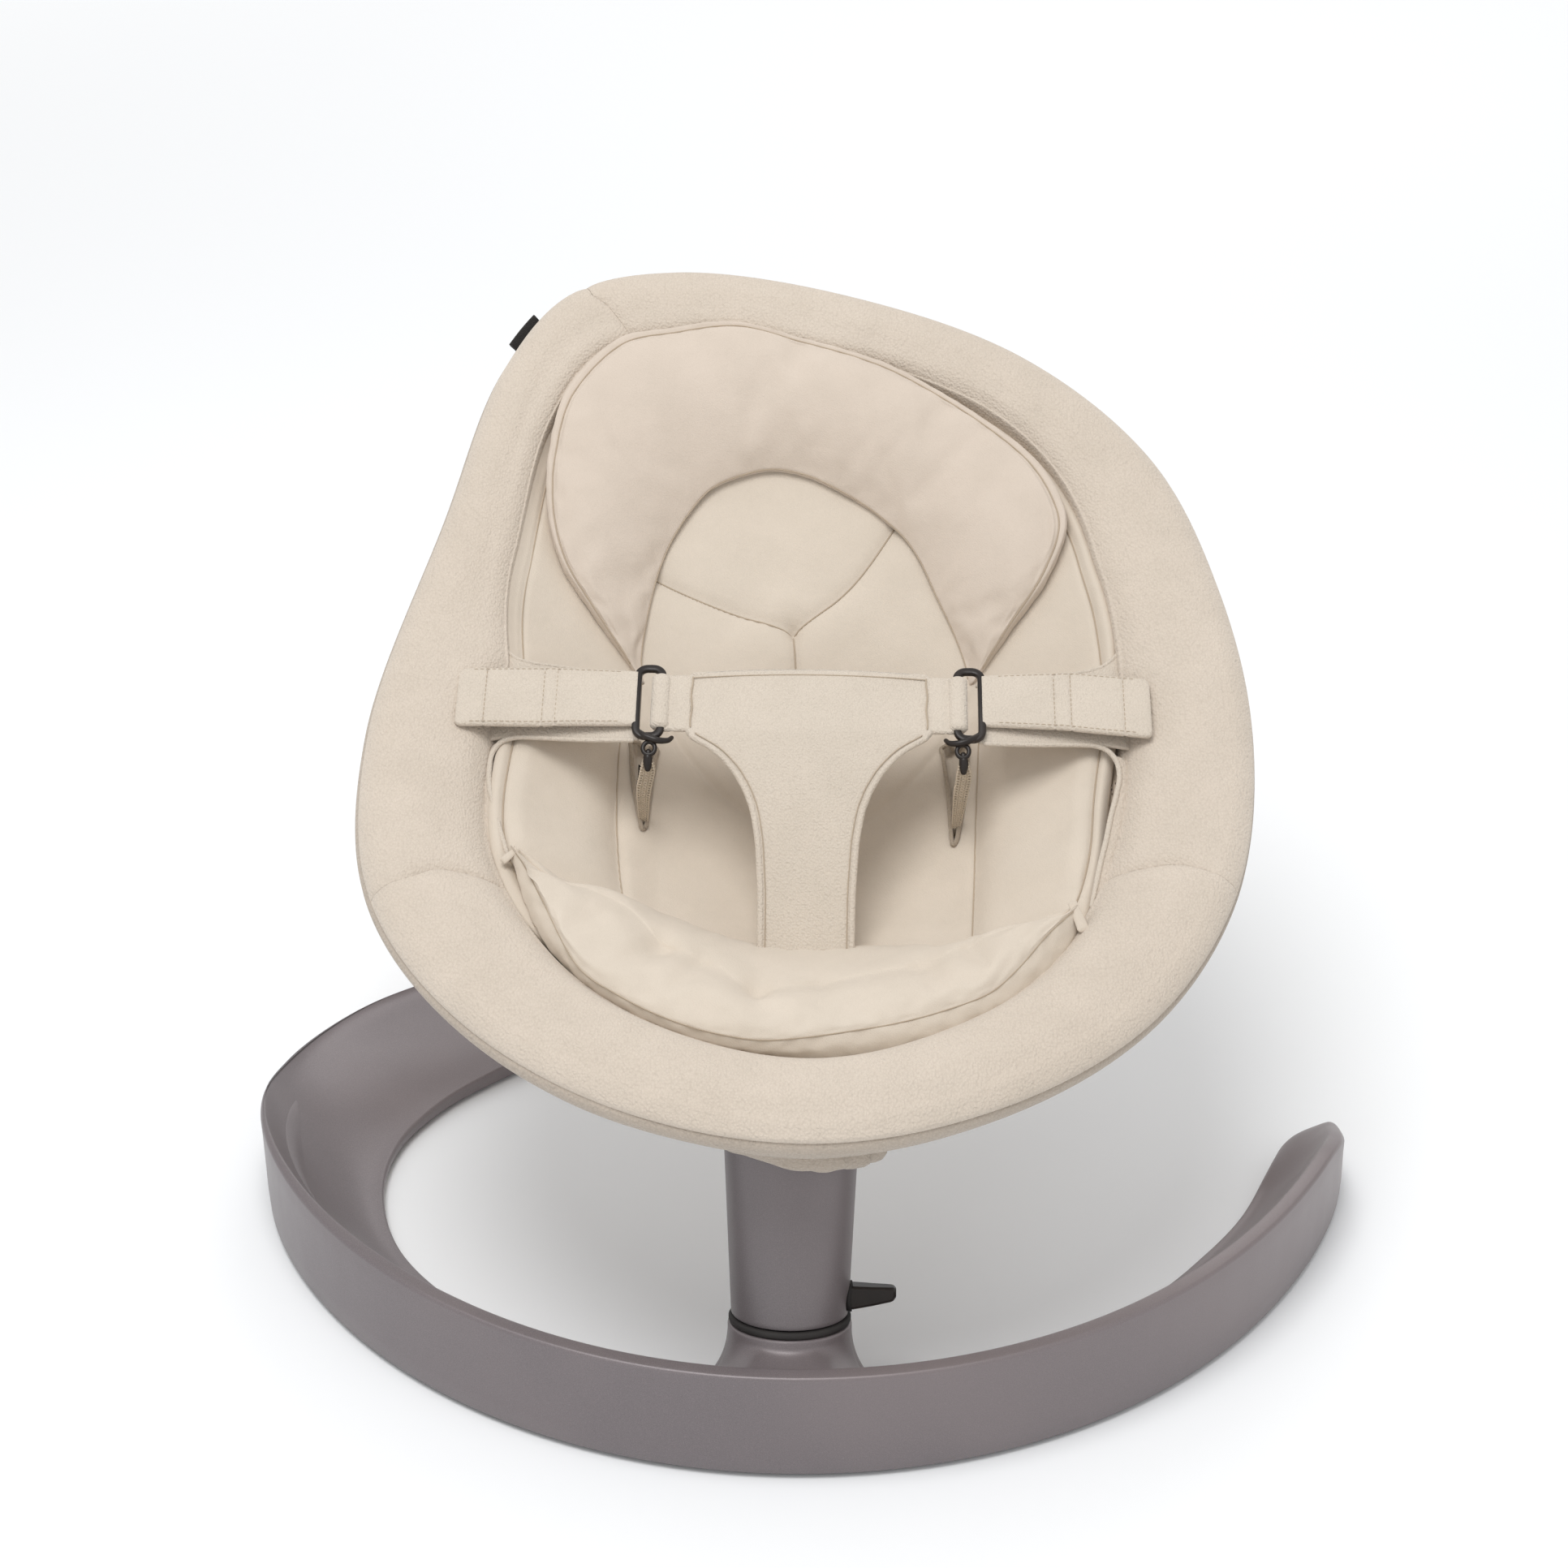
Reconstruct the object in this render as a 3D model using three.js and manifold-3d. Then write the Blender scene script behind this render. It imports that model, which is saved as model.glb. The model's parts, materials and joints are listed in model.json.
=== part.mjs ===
// Bouncer seat: a leaf-shaped soft seat that sways on a leaning post over a crescent base.
// Millimetres, +Z up. Modelled about the centre of the base circle, then moved so that the
// origin is under the middle of the whole seat, on the floor.
import * as THREE from 'three'
import { mergeVertices } from 'three/addons/utils/BufferGeometryUtils.js'
import Module from 'manifold-3d'

const wasm = await Module()
wasm.setup()

// ---------------------------------------------------------------- driving dimensions
const GAP = 0.3 // clearance between two pieces that touch on the real object
const DEG = Math.PI / 180

// base casting
const BASE_R = 338 // outer radius of the front arc
const BASE_LIP = 9 // width of the flat lip on the wall
const CAST_WALL = 4 // skin of the casting, hollow underneath
const HOLLOW_FROM = 31 // the hollow's two ends
const HOLLOW_TO = 292
const PAD_H = 2.5 // height of the rubber feet
const PAD_R = 9
const PAD_ANGLES = [20, 62, 118, 160, 215, 285] // degrees clockwise from the right end
// stations of the crescent, clockwise from its right tip seen from above:
// [angle, outer radius, wall height, inner radius, inner edge height]
const BASE_STATIONS = [
  [10, 331, 28, 315, 15],
  [11.5, 334, 38, 307, 17],
  [14, 336, 47, 300, 17],
  [18, 338, 58, 294, 14],
  [24, 338, 67, 290, 10],
  [35, 338, 70, 283, 8],
  [62, 338, 70, 277, 8],
  [90, 338, 70, 274, 8],
  [118, 338, 70, 277, 8],
  [143, 338, 70, 280, 8],
  [156, 336, 69, 269, 9],
  [166, 329, 60, 250, 10],
  [175, 316, 46, 222, 11],
  [184, 301, 35, 191, 12],
  [193, 284, 27, 166, 13],
  [204, 257, 22, 146, 14],
  [220, 228, 21, 126, 14],
  [240, 205, 20, 112, 13],
  [262, 194, 19, 108, 12],
  [284, 190, 18, 116, 11],
  [298, 184, 16, 130, 10],
]
const BASE_END_STEPS = 3 // extra sections that round each end of the crescent
const BASE_TIP_DEG = 1.6 // how far they run past the first and the last station
const BASE_TAIL_DEG = 8
const BASE_STEP_DEG = 8
const BASE_TIP_ROWS = 3 // stations near the tip that get a section of their own

// leaning post and its bearings, all along the sway axis
const POST_LEAN = 20 * DEG
const POST_FOOT_Y = -283 // sway axis at the top of the collar
const POST_FOOT_Z = 64
const COLLAR_R = 33.4
const COLLAR_FLARE_R = 48
const COLLAR_STRAIGHT = 12 // upright part of the collar
const COLLAR_FILLET = 13 // height of the sweep below it
const COLLAR_DEPTH = 60
const SEAL_H = 4
const SEAL_R = 32.4
const POST_R_LOW = 31.5
const POST_R_HIGH = 36
const POST_LEN = 105
const POST_WALL = 4
const SPINDLE_R = 12.5
const SPINDLE_ROOM = 23 // from the spindle's top to the post's top
const SPINDLE_DROP = 46 // how deep the spindle reaches into the collar
const BUSH_LEN = 12
const NUT_R = 19
const NUT_H = 6
const BOLT_HEAD_R = 11
const BOLT_HEAD_H = 7.4
const BOLT_ROOM = 4 // recess round the bolt's head
const DISC_S = 32 // brake disc height up the sway axis
const DISC_H = 4

// sway lock lever, in the post's own frame (x across, s along the axis)
const LEVER_S = 15
const LEVER_PIVOT_X = 27.6
const LEVER_REACH = 57
const LEVER_ROOT_H = 13
const LEVER_TIP_H = 7.5
const LEVER_ROOT_W = 11
const LEVER_TIP_W = 8
const LEVER_PIN_R = 1.6
const SLOT_PLAY = 1.2 // lever to each side of its slot
const SCALLOP_R = 24 // shallow hollow in the post round the slot
const SCALLOP_DEPTH = 1.4
const LEVER_PIN_L = 25
const SHOE_X = 20
const SHOE_R = 4
const SHOE_TRAVEL = 2.4

// recline hub
const PIVOT_RISE = 20 // recline axis over the post's top
const PIVOT_PIN_R = 4
const EAR_X = 20
const EAR_T = 7
const EAR_R = 12
const LUG_R = 11
const QUAD_R = 20 // notched sector of the recline
const QUAD_T = 3
const RECLINE_STEP = 7 // degrees between two recline positions
const LATCH_LEN = 10
const LATCH_H = 6
const LATCH_TRAVEL = 2.5
const BLOCK_V = 97 // bracket's cross bar in the seat plane: along, height, half width
const BLOCK_W = -74
const BLOCK_HALF = 42
const RECLINER_V = 101 // recline lever's own pivot
const RECLINER_W0 = -90.5
const RECLINER_W = 34
const RECLINER_PIN_R = 1.8
const RECLINER_EYE_R = 5

// seat plane: tilted, starting at the foot of the rim
const SEAT_X = 6
const SEAT_AHEAD = 79.8 // foot of the rim in front of the recline axis
const SEAT_ABOVE = 18.5 // and above it
const SEAT_TILT = 24 * DEG
const SEAT_LEN = 626
const SEAT_SAG = 31.5 // how far the rim dips under a straight line from foot to head
// rim outline in the seat plane: [across, along]
const RIM_POINTS = [
  [6, 3], [100, 29], [180, 86], [233, 174], [251, 285], [239, 390], [203, 486], [128, 559],
  [20, 603], [-88, 619], [-152, 603], [-190, 549], [-217, 443], [-250, 285], [-238, 170],
  [-180, 84], [-94, 26],
]
const RIM_STATIONS = 48
const BOWL_CENTRE = [0, 300]
const EDGE_R = 14 // roundness of the rim's outer edge
const FRAME_R = 9
const BAND_FOOT = 61 // width of the rim band at the foot
const BAND_SIDE = 73 // beside the seat base
const BAND_HEAD = 45 // at the head and the upper left
const BAND_RIGHT = 65 // at the shoulder on the right
const COVER_T = 4
const BOWL_DEPTH = 72
const SLING_DROP = 12.8 // sling edge under the rim line
const SLING_T = 2
const INSERT_T = 14
const PILLOW_T = 27
const BOLSTER_T = 36
const UNDER_GAP = 30 // sling to under cover, room for the arms
const UNDER_T = 2.4
const SKIRT_R = 58
const SKIRT_BACK = 8 // the skirt's opening sits this far behind the sway axis
const SKIRT_DROP = 9 // skirt's opening under the post's top
const HEAD_SEAM = [-148, 613]
const LEFT_SEAM = [-233, 168]
const RIGHT_SEAM = [229, 180]
const ARM_R = 7
const ARM_CLEAR = 5 // arm to the sling over it
const ARM_ROUTE = [[80, 128], [128, 190], [166, 258]] // in the seat plane, on either side
const ARM_END_V = 330
const STRUT_R = 6

// harness
const BELT_V = 305 // belt line along the seat
const BELT_W = -23 // belt height over the seat plane
const RING_U = 91
const RING_W = 15
const RING_L = 46
const RING_WIRE = 1.9
const STRAP_W = 30
const FLAP_W = 38
const FLAP_MIDDLE = 150
const FLAP_END = 200
const STRAP_END = 187
const STRAP_SHIFT = 5 // root strap nearer the foot than the flap over it
const STRAP_T = 2
const FLAP_T = 3
const PAD_T = 5
// crotch pad from its root up to the bar across it: [along, half width]
const CROTCH_SHAPE = [[167, 25], [195, 24], [222, 25], [246, 30], [263, 41], [275, 54]]
const BAR_HALF = 20.5
const BAR_W = 66
const TAB_T = 3.2
const HOOK_R = 2.6
const HOOK_L = 17
const TETHER_W = 9
const TETHER_RUN = 17
const TAG_GAP = 0.4 // tag root to the outline of the rim
const TAG_AT = [-182, 580]
const TAG_OUT = 9
const TAG_T = 1.6
const TAG_HALF = 0.42 // half its width, in steps of the rim stations

// ---------------------------------------------------------------- colours
const PAINT = { color: 0x7c7677, roughness: 0.42, metalness: 0.45 }
const STEEL = { color: 0x9b9ea2, roughness: 0.35, metalness: 0.9 }
const ALLOY = { color: 0xb4b6b8, roughness: 0.4, metalness: 0.8 }
const DARK = { color: 0x2c2624, roughness: 0.45, metalness: 0.05 }
const RUBBER = { color: 0x1c1b1b, roughness: 0.9, metalness: 0 }
const CREAM = { color: 0xdfd2c3, roughness: 0.95, metalness: 0 }
const PALE = { color: 0xd5c8b8, roughness: 0.95, metalness: 0 }
const MESH = { color: 0xcfc4b4, roughness: 1, metalness: 0 }
const BLACK = { color: 0x151313, roughness: 0.8, metalness: 0 }

const part = new THREE.Group()

function node(name, geometry, look) {
  const mesh = new THREE.Mesh(geometry, new THREE.MeshStandardMaterial(look))
  mesh.name = name
  part.add(mesh)
  return mesh
}

// ---------------------------------------------------------------- solids and booleans
function toManifold(geometry) {
  const bare = geometry.clone()
  bare.deleteAttribute('normal')
  bare.deleteAttribute('uv')
  const merged = mergeVertices(bare, 1e-4)
  const wasmMesh = new wasm.Mesh({
    numProp: 3,
    vertProperties: new Float32Array(merged.attributes.position.array),
    triVerts: new Uint32Array(merged.index.array),
  })
  return new wasm.Manifold(wasmMesh)
}

function toGeometry(manifold) {
  const mesh = manifold.getMesh()
  const geometry = new THREE.BufferGeometry()
  geometry.setAttribute('position', new THREE.BufferAttribute(new Float32Array(mesh.vertProperties), 3))
  geometry.setIndex(new THREE.BufferAttribute(new Uint32Array(mesh.triVerts), 1))
  geometry.computeVertexNormals()
  return geometry
}

function cut(body, ...tools) {
  let result = toManifold(body)
  for (const tool of tools) result = result.subtract(toManifold(tool))
  return toGeometry(result)
}

function join(...bodies) {
  let result = toManifold(bodies[0])
  for (const body of bodies.slice(1)) result = result.add(toManifold(body))
  return toGeometry(result)
}

function common(body, ...tools) {
  let result = toManifold(body)
  for (const tool of tools) result = result.intersect(toManifold(tool))
  return toGeometry(result)
}

// closed skin over rows of points; each row is a closed section, in the same turning sense
function loft(rows, looped = false) {
  const n = rows[0].length
  const positions = rows.flat().flatMap(p => [p.x, p.y, p.z])
  const index = []
  const spans = looped ? rows.length : rows.length - 1
  for (let i = 0; i < spans; i++) {
    const a = i * n
    const b = ((i + 1) % rows.length) * n
    for (let j = 0; j < n; j++) {
      const k = (j + 1) % n
      index.push(a + j, a + k, b + k, a + j, b + k, b + j)
    }
  }
  if (!looped) {
    capEnd(positions, index, rows[0], 0, true)
    capEnd(positions, index, rows[rows.length - 1], (rows.length - 1) * n, false)
  }
  const geometry = new THREE.BufferGeometry()
  geometry.setAttribute('position', new THREE.Float32BufferAttribute(positions, 3))
  geometry.setIndex(index)
  return outward(geometry)
}

// flat cap of one end section, triangulated in the section's own plane
function capEnd(positions, index, row, start, flip) {
  const normal = new THREE.Vector3()
  row.forEach((p, i) => normal.add(new THREE.Vector3().crossVectors(p, row[(i + 1) % row.length])))
  normal.normalize()
  const side = Math.abs(normal.z) < 0.9 ? new THREE.Vector3(0, 0, 1) : new THREE.Vector3(1, 0, 0)
  const e1 = new THREE.Vector3().crossVectors(side, normal).normalize()
  const e2 = new THREE.Vector3().crossVectors(normal, e1)
  const flat = row.map(p => new THREE.Vector2(p.dot(e1), p.dot(e2)))
  for (const [a, b, c] of THREE.ShapeUtils.triangulateShape(flat, [])) {
    if (flip) index.push(start + a, start + c, start + b)
    else index.push(start + a, start + b, start + c)
  }
}

// turn a closed geometry so that its faces look outwards
function outward(geometry) {
  const p = geometry.attributes.position
  const idx = geometry.index.array
  let volume = 0
  const a = new THREE.Vector3()
  const b = new THREE.Vector3()
  const c = new THREE.Vector3()
  for (let i = 0; i < idx.length; i += 3) {
    a.fromBufferAttribute(p, idx[i])
    b.fromBufferAttribute(p, idx[i + 1])
    c.fromBufferAttribute(p, idx[i + 2])
    volume += a.dot(b.cross(c))
  }
  if (volume < 0) {
    for (let i = 0; i < idx.length; i += 3) {
      const keep = idx[i + 1]
      idx[i + 1] = idx[i + 2]
      idx[i + 2] = keep
    }
  }
  geometry.computeVertexNormals()
  return geometry
}

// closed solid between two fans of rings that share one rim; ring 0 is the rim, the last ring
// is a single centre point where centred is true, and an open edge otherwise
function bowlSolid(upper, lower, centred) {
  const n = upper[0].length
  const rings = upper.length
  const positions = []
  const index = []
  const at = (layer, ring, i) => (layer * rings + ring) * n + (i % n)
  for (const layer of [upper, lower]) {
    for (const ring of layer) for (const p of ring) positions.push(p.x, p.y, p.z)
  }
  for (let layer = 0; layer < 2; layer++) {
    for (let r = 0; r < rings - 1; r++) {
      for (let i = 0; i < n; i++) {
        const q = [at(layer, r, i), at(layer, r, i + 1), at(layer, r + 1, i + 1), at(layer, r + 1, i)]
        const lastFan = centred && r === rings - 2
        const tris = lastFan ? [[q[0], q[1], q[2]]] : [[q[0], q[1], q[2]], [q[0], q[2], q[3]]]
        for (const t of tris) index.push(...(layer ? [t[0], t[2], t[1]] : t))
      }
    }
  }
  for (let i = 0; i < n; i++) {
    index.push(at(0, 0, i), at(1, 0, i), at(1, 0, i + 1), at(0, 0, i), at(1, 0, i + 1), at(0, 0, i + 1))
    if (centred) continue
    const last = rings - 1
    index.push(at(0, last, i), at(1, last, i + 1), at(1, last, i))
    index.push(at(0, last, i), at(0, last, i + 1), at(1, last, i + 1))
  }
  const geometry = new THREE.BufferGeometry()
  geometry.setAttribute('position', new THREE.Float32BufferAttribute(positions, 3))
  geometry.setIndex(index)
  return outward(mergeVertices(geometry, 1e-4))
}

function smooth(x) {
  const t = Math.min(1, Math.max(0, x))
  return t * t * (3 - 2 * t)
}

function mix(a, b, t) {
  return a + (b - a) * t
}

// ---------------------------------------------------------------- base casting
const onBase = (angle, r, z) =>
  new THREE.Vector3(r * Math.cos(angle * DEG), -r * Math.sin(angle * DEG), z)

// the station values at any angle, eased between the listed stations
function baseAt(angle) {
  let i = 0
  while (i < BASE_STATIONS.length - 2 && BASE_STATIONS[i + 1][0] < angle) i++
  const rows = [i - 1, i, i + 1, i + 2].map(k =>
    BASE_STATIONS[Math.min(BASE_STATIONS.length - 1, Math.max(0, k))])
  const [p0, p1, p2, p3] = rows
  const span = p2[0] - p1[0]
  const t = Math.min(1, Math.max(0, (angle - p1[0]) / span))
  const value = k => {
    const m1 = (p2[k] - p0[k]) / Math.max(1, p2[0] - p0[0]) * span
    const m2 = (p3[k] - p1[k]) / Math.max(1, p3[0] - p1[0]) * span
    const t2 = t * t
    const t3 = t2 * t
    return (2 * t3 - 3 * t2 + 1) * p1[k] + (t3 - 2 * t2 + t) * m1
      + (-2 * t3 + 3 * t2) * p2[k] + (t3 - t2) * m2
  }
  return { outer: value(1), height: value(2), inner: value(3), edge: value(4) }
}

// height of the hollowed slope, from the lip at 0 to the inner edge at 1
function baseSlope(s, t) {
  return s.edge + (s.height - 3 - s.edge) * Math.pow(1 - t, 1.7)
}

// one section of the crescent: upright outer wall, flat lip, hollowed slope, low inner edge
function baseSection(angle, shrink = 1) {
  const s = baseAt(angle)
  const lip = Math.min(BASE_LIP, (s.outer - s.inner) * 0.4)
  const low = PAD_H
  const slope = t => baseSlope(s, t)
  const inside = s.outer - lip - 1
  const pts = [
    [s.outer - 1.6, low],
    [s.outer - 0.6, low + 2],
    [s.outer, s.height - 4],
    [s.outer - 2, s.height - 0.6],
    [s.outer - lip + 1.5, s.height],
    [inside, s.height - 3],
    [mix(inside, s.inner + 3, 0.3), slope(0.3)],
    [mix(inside, s.inner + 3, 0.65), slope(0.65)],
    [s.inner + 3, s.edge],
    [s.inner, s.edge - 3],
    [s.inner + 1, low],
  ]
  const midR = (s.outer + s.inner) / 2
  return pts.map(([r, z]) => onBase(angle, mix(midR, r, shrink), mix(low, z, Math.min(1, shrink * 1.15))))
}

// extra section past one end of the crescent: k counts in from the very end
function roundedEnd(end, reach, k) {
  const t = k / (BASE_END_STEPS + 1)
  return baseSection(end + reach * (1 - t * t), Math.sqrt(1 - (1 - t) * (1 - t)))
}

function baseCasting() {
  const first = BASE_STATIONS[0][0]
  const last = BASE_STATIONS[BASE_STATIONS.length - 1][0]
  const rows = []
  for (let k = 1; k <= BASE_END_STEPS; k++) rows.push(roundedEnd(first, -BASE_TIP_DEG, k))
  const near = BASE_STATIONS[BASE_TIP_ROWS][0]
  for (const [angle] of BASE_STATIONS.slice(0, BASE_TIP_ROWS)) rows.push(baseSection(angle))
  const steps = Math.round((last - near) / BASE_STEP_DEG)
  for (let k = 0; k <= steps; k++) rows.push(baseSection(mix(near, last, k / steps)))
  for (let k = BASE_END_STEPS; k >= 1; k--) rows.push(roundedEnd(last, BASE_TAIL_DEG, k))
  return loft(rows)
}

// ---------------------------------------------------------------- sway axis
const swayAxis = new THREE.Vector3(0, Math.sin(POST_LEAN), Math.cos(POST_LEAN))
const swayFoot = new THREE.Vector3(0, POST_FOOT_Y, POST_FOOT_Z)
// post frame: X across, Y backwards and down, Z up the axis
const postFrame = new THREE.Matrix4().makeRotationX(-POST_LEAN).setPosition(swayFoot)

function onPost(geometry) {
  return geometry.applyMatrix4(postFrame)
}

// body of revolution about the sway axis from [radius, height] pairs
function turned(profile, segments = 32) {
  const lathe = new THREE.LatheGeometry(profile.map(([r, s]) => new THREE.Vector2(r, s)), segments)
  return outward(mergeVertices(bareCopy(lathe.rotateX(Math.PI / 2)), 1e-4))
}

function bareCopy(geometry) {
  const bare = geometry.clone()
  bare.deleteAttribute('normal')
  bare.deleteAttribute('uv')
  return bare.index ? bare : mergeVertices(bare, 1e-4)
}

const rod = (r, s0, s1, segments) => turned([[0, s0], [r, s0], [r, s1], [0, s1]], segments)
const tube = (r0, r1, s0, s1, segments) =>
  turned([[r0, s0], [r1, s0], [r1, s1], [r0, s1], [r0, s0]], segments)

// a box from its lowest to its highest corner
function block(lo, hi) {
  const box = new THREE.BoxGeometry(hi[0] - lo[0], hi[1] - lo[1], hi[2] - lo[2])
  return box.translate((hi[0] + lo[0]) / 2, (hi[1] + lo[1]) / 2, (hi[2] + lo[2]) / 2)
}

const PIVOT_S = POST_LEN + PIVOT_RISE
const pivot = swayFoot.clone().addScaledVector(swayAxis, PIVOT_S)
const postBore = POST_R_LOW - POST_WALL
const postLow = SEAL_H + 2 * GAP

// room under the casting's skin, open to the floor
function baseHollow() {
  const rows = []
  for (let angle = HOLLOW_FROM; angle <= HOLLOW_TO; angle += BASE_STEP_DEG) {
    const s = baseAt(angle)
    const inside = s.outer - BASE_LIP - 1
    const slope = t => baseSlope(s, t) - CAST_WALL
    rows.push([
      [s.outer - CAST_WALL, -PAD_H],
      [s.outer - CAST_WALL, slope(0.3)],
      [mix(inside, s.inner + 3, 0.3) - CAST_WALL, slope(0.35)],
      [mix(inside, s.inner + 3, 0.65), slope(0.7)],
      [s.inner + 3 + CAST_WALL, slope(1)],
      [s.inner + 3 + CAST_WALL, -PAD_H],
    ].map(([r, z]) => onBase(angle, r, z)))
  }
  return loft(rows)
}

const padCentre = angle => {
  const s = baseAt(angle)
  return onBase(angle, (s.outer + s.inner) / 2, 0)
}

function padBoss(angle) {
  const boss = new THREE.CylinderGeometry(PAD_R + CAST_WALL, PAD_R + CAST_WALL, 2 * BASE_R, 20)
  const { x, y } = padCentre(angle)
  return boss.rotateX(Math.PI / 2).translate(x, y, 0)
}

function baseRing() {
  // quarter-round sweep from the upright collar out to the boss round it
  const flareSize = COLLAR_FLARE_R - COLLAR_R
  const flareLow = -COLLAR_STRAIGHT - COLLAR_FILLET
  const flare = [90, 67, 45, 22, 0].map(a => [
    COLLAR_R + flareSize * (1 - Math.cos(a * DEG)), flareLow + COLLAR_FILLET * (1 - Math.sin(a * DEG)),
  ])
  const collar = onPost(turned([
    [0, -COLLAR_DEPTH], [COLLAR_FLARE_R, -COLLAR_DEPTH], [COLLAR_FLARE_R, flareLow - 4],
    ...flare, [COLLAR_R, -1], [COLLAR_R - 0.8, 0], [0, 0],
  ]))
  const envelope = new THREE.CylinderGeometry(BASE_R - CAST_WALL, BASE_R - CAST_WALL, BASE_R, 96)
    .rotateX(Math.PI / 2).translate(0, 0, BASE_R / 2 + PAD_H)
  const bore = onPost(rod(SPINDLE_R + GAP, -2 * COLLAR_DEPTH, COLLAR_DEPTH))
  const recess = onPost(rod(BOLT_HEAD_R + BOLT_ROOM, -2 * COLLAR_DEPTH, -SPINDLE_DROP - GAP))
  const shell = cut(baseCasting(), cut(baseHollow(), ...PAD_ANGLES.map(padBoss)))
  return cut(join(shell, common(collar, envelope)), bore, recess)
}

node('base_ring', baseRing(), PAINT)
for (const [i, angle] of PAD_ANGLES.entries()) {
  const centre = padCentre(angle)
  const pad = new THREE.CylinderGeometry(PAD_R, PAD_R - 1, PAD_H - GAP, 20).rotateX(Math.PI / 2)
  pad.translate(centre.x, centre.y, (PAD_H - GAP) / 2)
  node(`foot_pad_${i + 1}`, pad, RUBBER)
}

// ---------------------------------------------------------------- spindle and bearings
node('collar_seal', onPost(tube(SPINDLE_R + GAP, SEAL_R, GAP, GAP + SEAL_H)), RUBBER)
const spindleTop = POST_LEN - SPINDLE_ROOM
node('sway_spindle', onPost(rod(SPINDLE_R, -SPINDLE_DROP, spindleTop - NUT_H)), STEEL)
node('spindle_nut', onPost(rod(NUT_R, spindleTop - NUT_H + GAP, spindleTop, 6)), STEEL)
const boltTop = -SPINDLE_DROP - 2 * GAP
node('spindle_bolt', onPost(rod(BOLT_HEAD_R, boltTop - BOLT_HEAD_H, boltTop, 6)), STEEL)
const bushStarts = {
  lower_bearing: DISC_S + DISC_H + GAP,
  upper_bearing: spindleTop - NUT_H - BUSH_LEN - GAP,
}
for (const [name, s] of Object.entries(bushStarts)) {
  node(name, onPost(tube(SPINDLE_R + GAP, postBore - GAP, s, s + BUSH_LEN - GAP)), DARK)
}
node('brake_disc', onPost(tube(SPINDLE_R + GAP, postBore - 1, DISC_S, DISC_S + DISC_H)), STEEL)

// the lever's pivot pin lies across the slot, in the post's wall
const leverPin = (radius, length) => new THREE.CylinderGeometry(radius, radius, length, 16)
  .translate(LEVER_PIVOT_X, 0, LEVER_S - 1.5)

// ---------------------------------------------------------------- post tube with the lever's slot
function postTube() {
  const bore = postBore
  const shell = turned([
    [bore, postLow], [POST_R_LOW - 0.8, postLow], [POST_R_LOW, postLow + 1], [POST_R_HIGH, POST_LEN],
    [bore, POST_LEN], [bore, postLow],
  ], 40)
  const slotHalf = LEVER_ROOT_W / 2 + SLOT_PLAY
  const slot = block([bore - 6, -slotHalf, LEVER_S - 12], [2 * POST_R_HIGH, slotHalf, LEVER_S + 9])
  const scallop = new THREE.CylinderGeometry(SCALLOP_R, SCALLOP_R, 2 * POST_R_HIGH, 24)
    .translate(POST_R_LOW + SCALLOP_R - SCALLOP_DEPTH, 0, LEVER_S - 3)
  return onPost(cut(shell, slot, scallop, leverPin(LEVER_PIN_R + GAP, LEVER_PIN_L + 2 * GAP)))
}
node('post_tube', postTube(), PAINT)

// ---------------------------------------------------------------- sway lock
function lockLever() {
  const half = LEVER_ROOT_H / 2
  const row = (x, h, w, drop) => [[-1, -1], [1, -1], [1, 1], [-1, 1]].map(([y, z]) =>
    new THREE.Vector3(x, y * w / 2, LEVER_S + drop + z * h / 2))
  const arm = loft([
    row(SHOE_X - 4, 5, 8, -2),
    row(LEVER_PIVOT_X - 4, 6, 8, -1.5),
    row(LEVER_PIVOT_X + 4, half + 4, LEVER_ROOT_W, -0.5),
    row(LEVER_PIVOT_X + 6, LEVER_ROOT_H, LEVER_ROOT_W, -1),
    row(LEVER_REACH - 2, LEVER_TIP_H, LEVER_TIP_W, 0.8),
    row(LEVER_REACH, LEVER_TIP_H - 2, LEVER_TIP_W - 2, 0.8),
  ])
  return onPost(cut(arm, leverPin(LEVER_PIN_R + GAP, LEVER_PIN_L + 2 * GAP)))
}
node('lock_lever', lockLever(), DARK)
node('lever_pivot_pin', onPost(leverPin(LEVER_PIN_R, LEVER_PIN_L)), STEEL)
const shoeTop = DISC_S - GAP - SHOE_TRAVEL
const shoeLow = LEVER_S + 1.8 + GAP
node('brake_shoe', onPost(turned([[0, shoeLow], [SHOE_R - 1.5, shoeLow],
  [SHOE_R - 1.5, shoeTop - 6], [SHOE_R, shoeTop - 6], [SHOE_R, shoeTop], [0, shoeTop]], 16)
  .translate(SHOE_X, 0, 0)), RUBBER)

// ---------------------------------------------------------------- seat plane helpers
const seatFoot = new THREE.Vector3(SEAT_X, pivot.y - SEAT_AHEAD, pivot.z + SEAT_ABOVE)
const seatFrame = new THREE.Matrix4().makeRotationX(SEAT_TILT).setPosition(seatFoot)

const onSeat = geometry => geometry.applyMatrix4(seatFrame)
const rimLine = v => -SEAT_SAG * 4 * (v / SEAT_LEN) * (1 - v / SEAT_LEN)

const rimCurve = new THREE.CatmullRomCurve3(
  RIM_POINTS.map(([u, v]) => new THREE.Vector3(u, v, 0)), true, 'centripetal')
const rimStations = rimCurve.getSpacedPoints(RIM_STATIONS).slice(0, RIM_STATIONS)

const centreOf = new THREE.Vector3(...BOWL_CENTRE, 0)
function bandWidth(u, v) {
  const right = mix(BAND_RIGHT, BAND_HEAD, smooth((v - 440) / 130))
  const low = mix(BAND_FOOT, BAND_SIDE, smooth(v / 160))
  return mix(low, mix(BAND_HEAD, right, smooth((u + 40) / 120)), smooth((v - 290) / 150))
}

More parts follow.
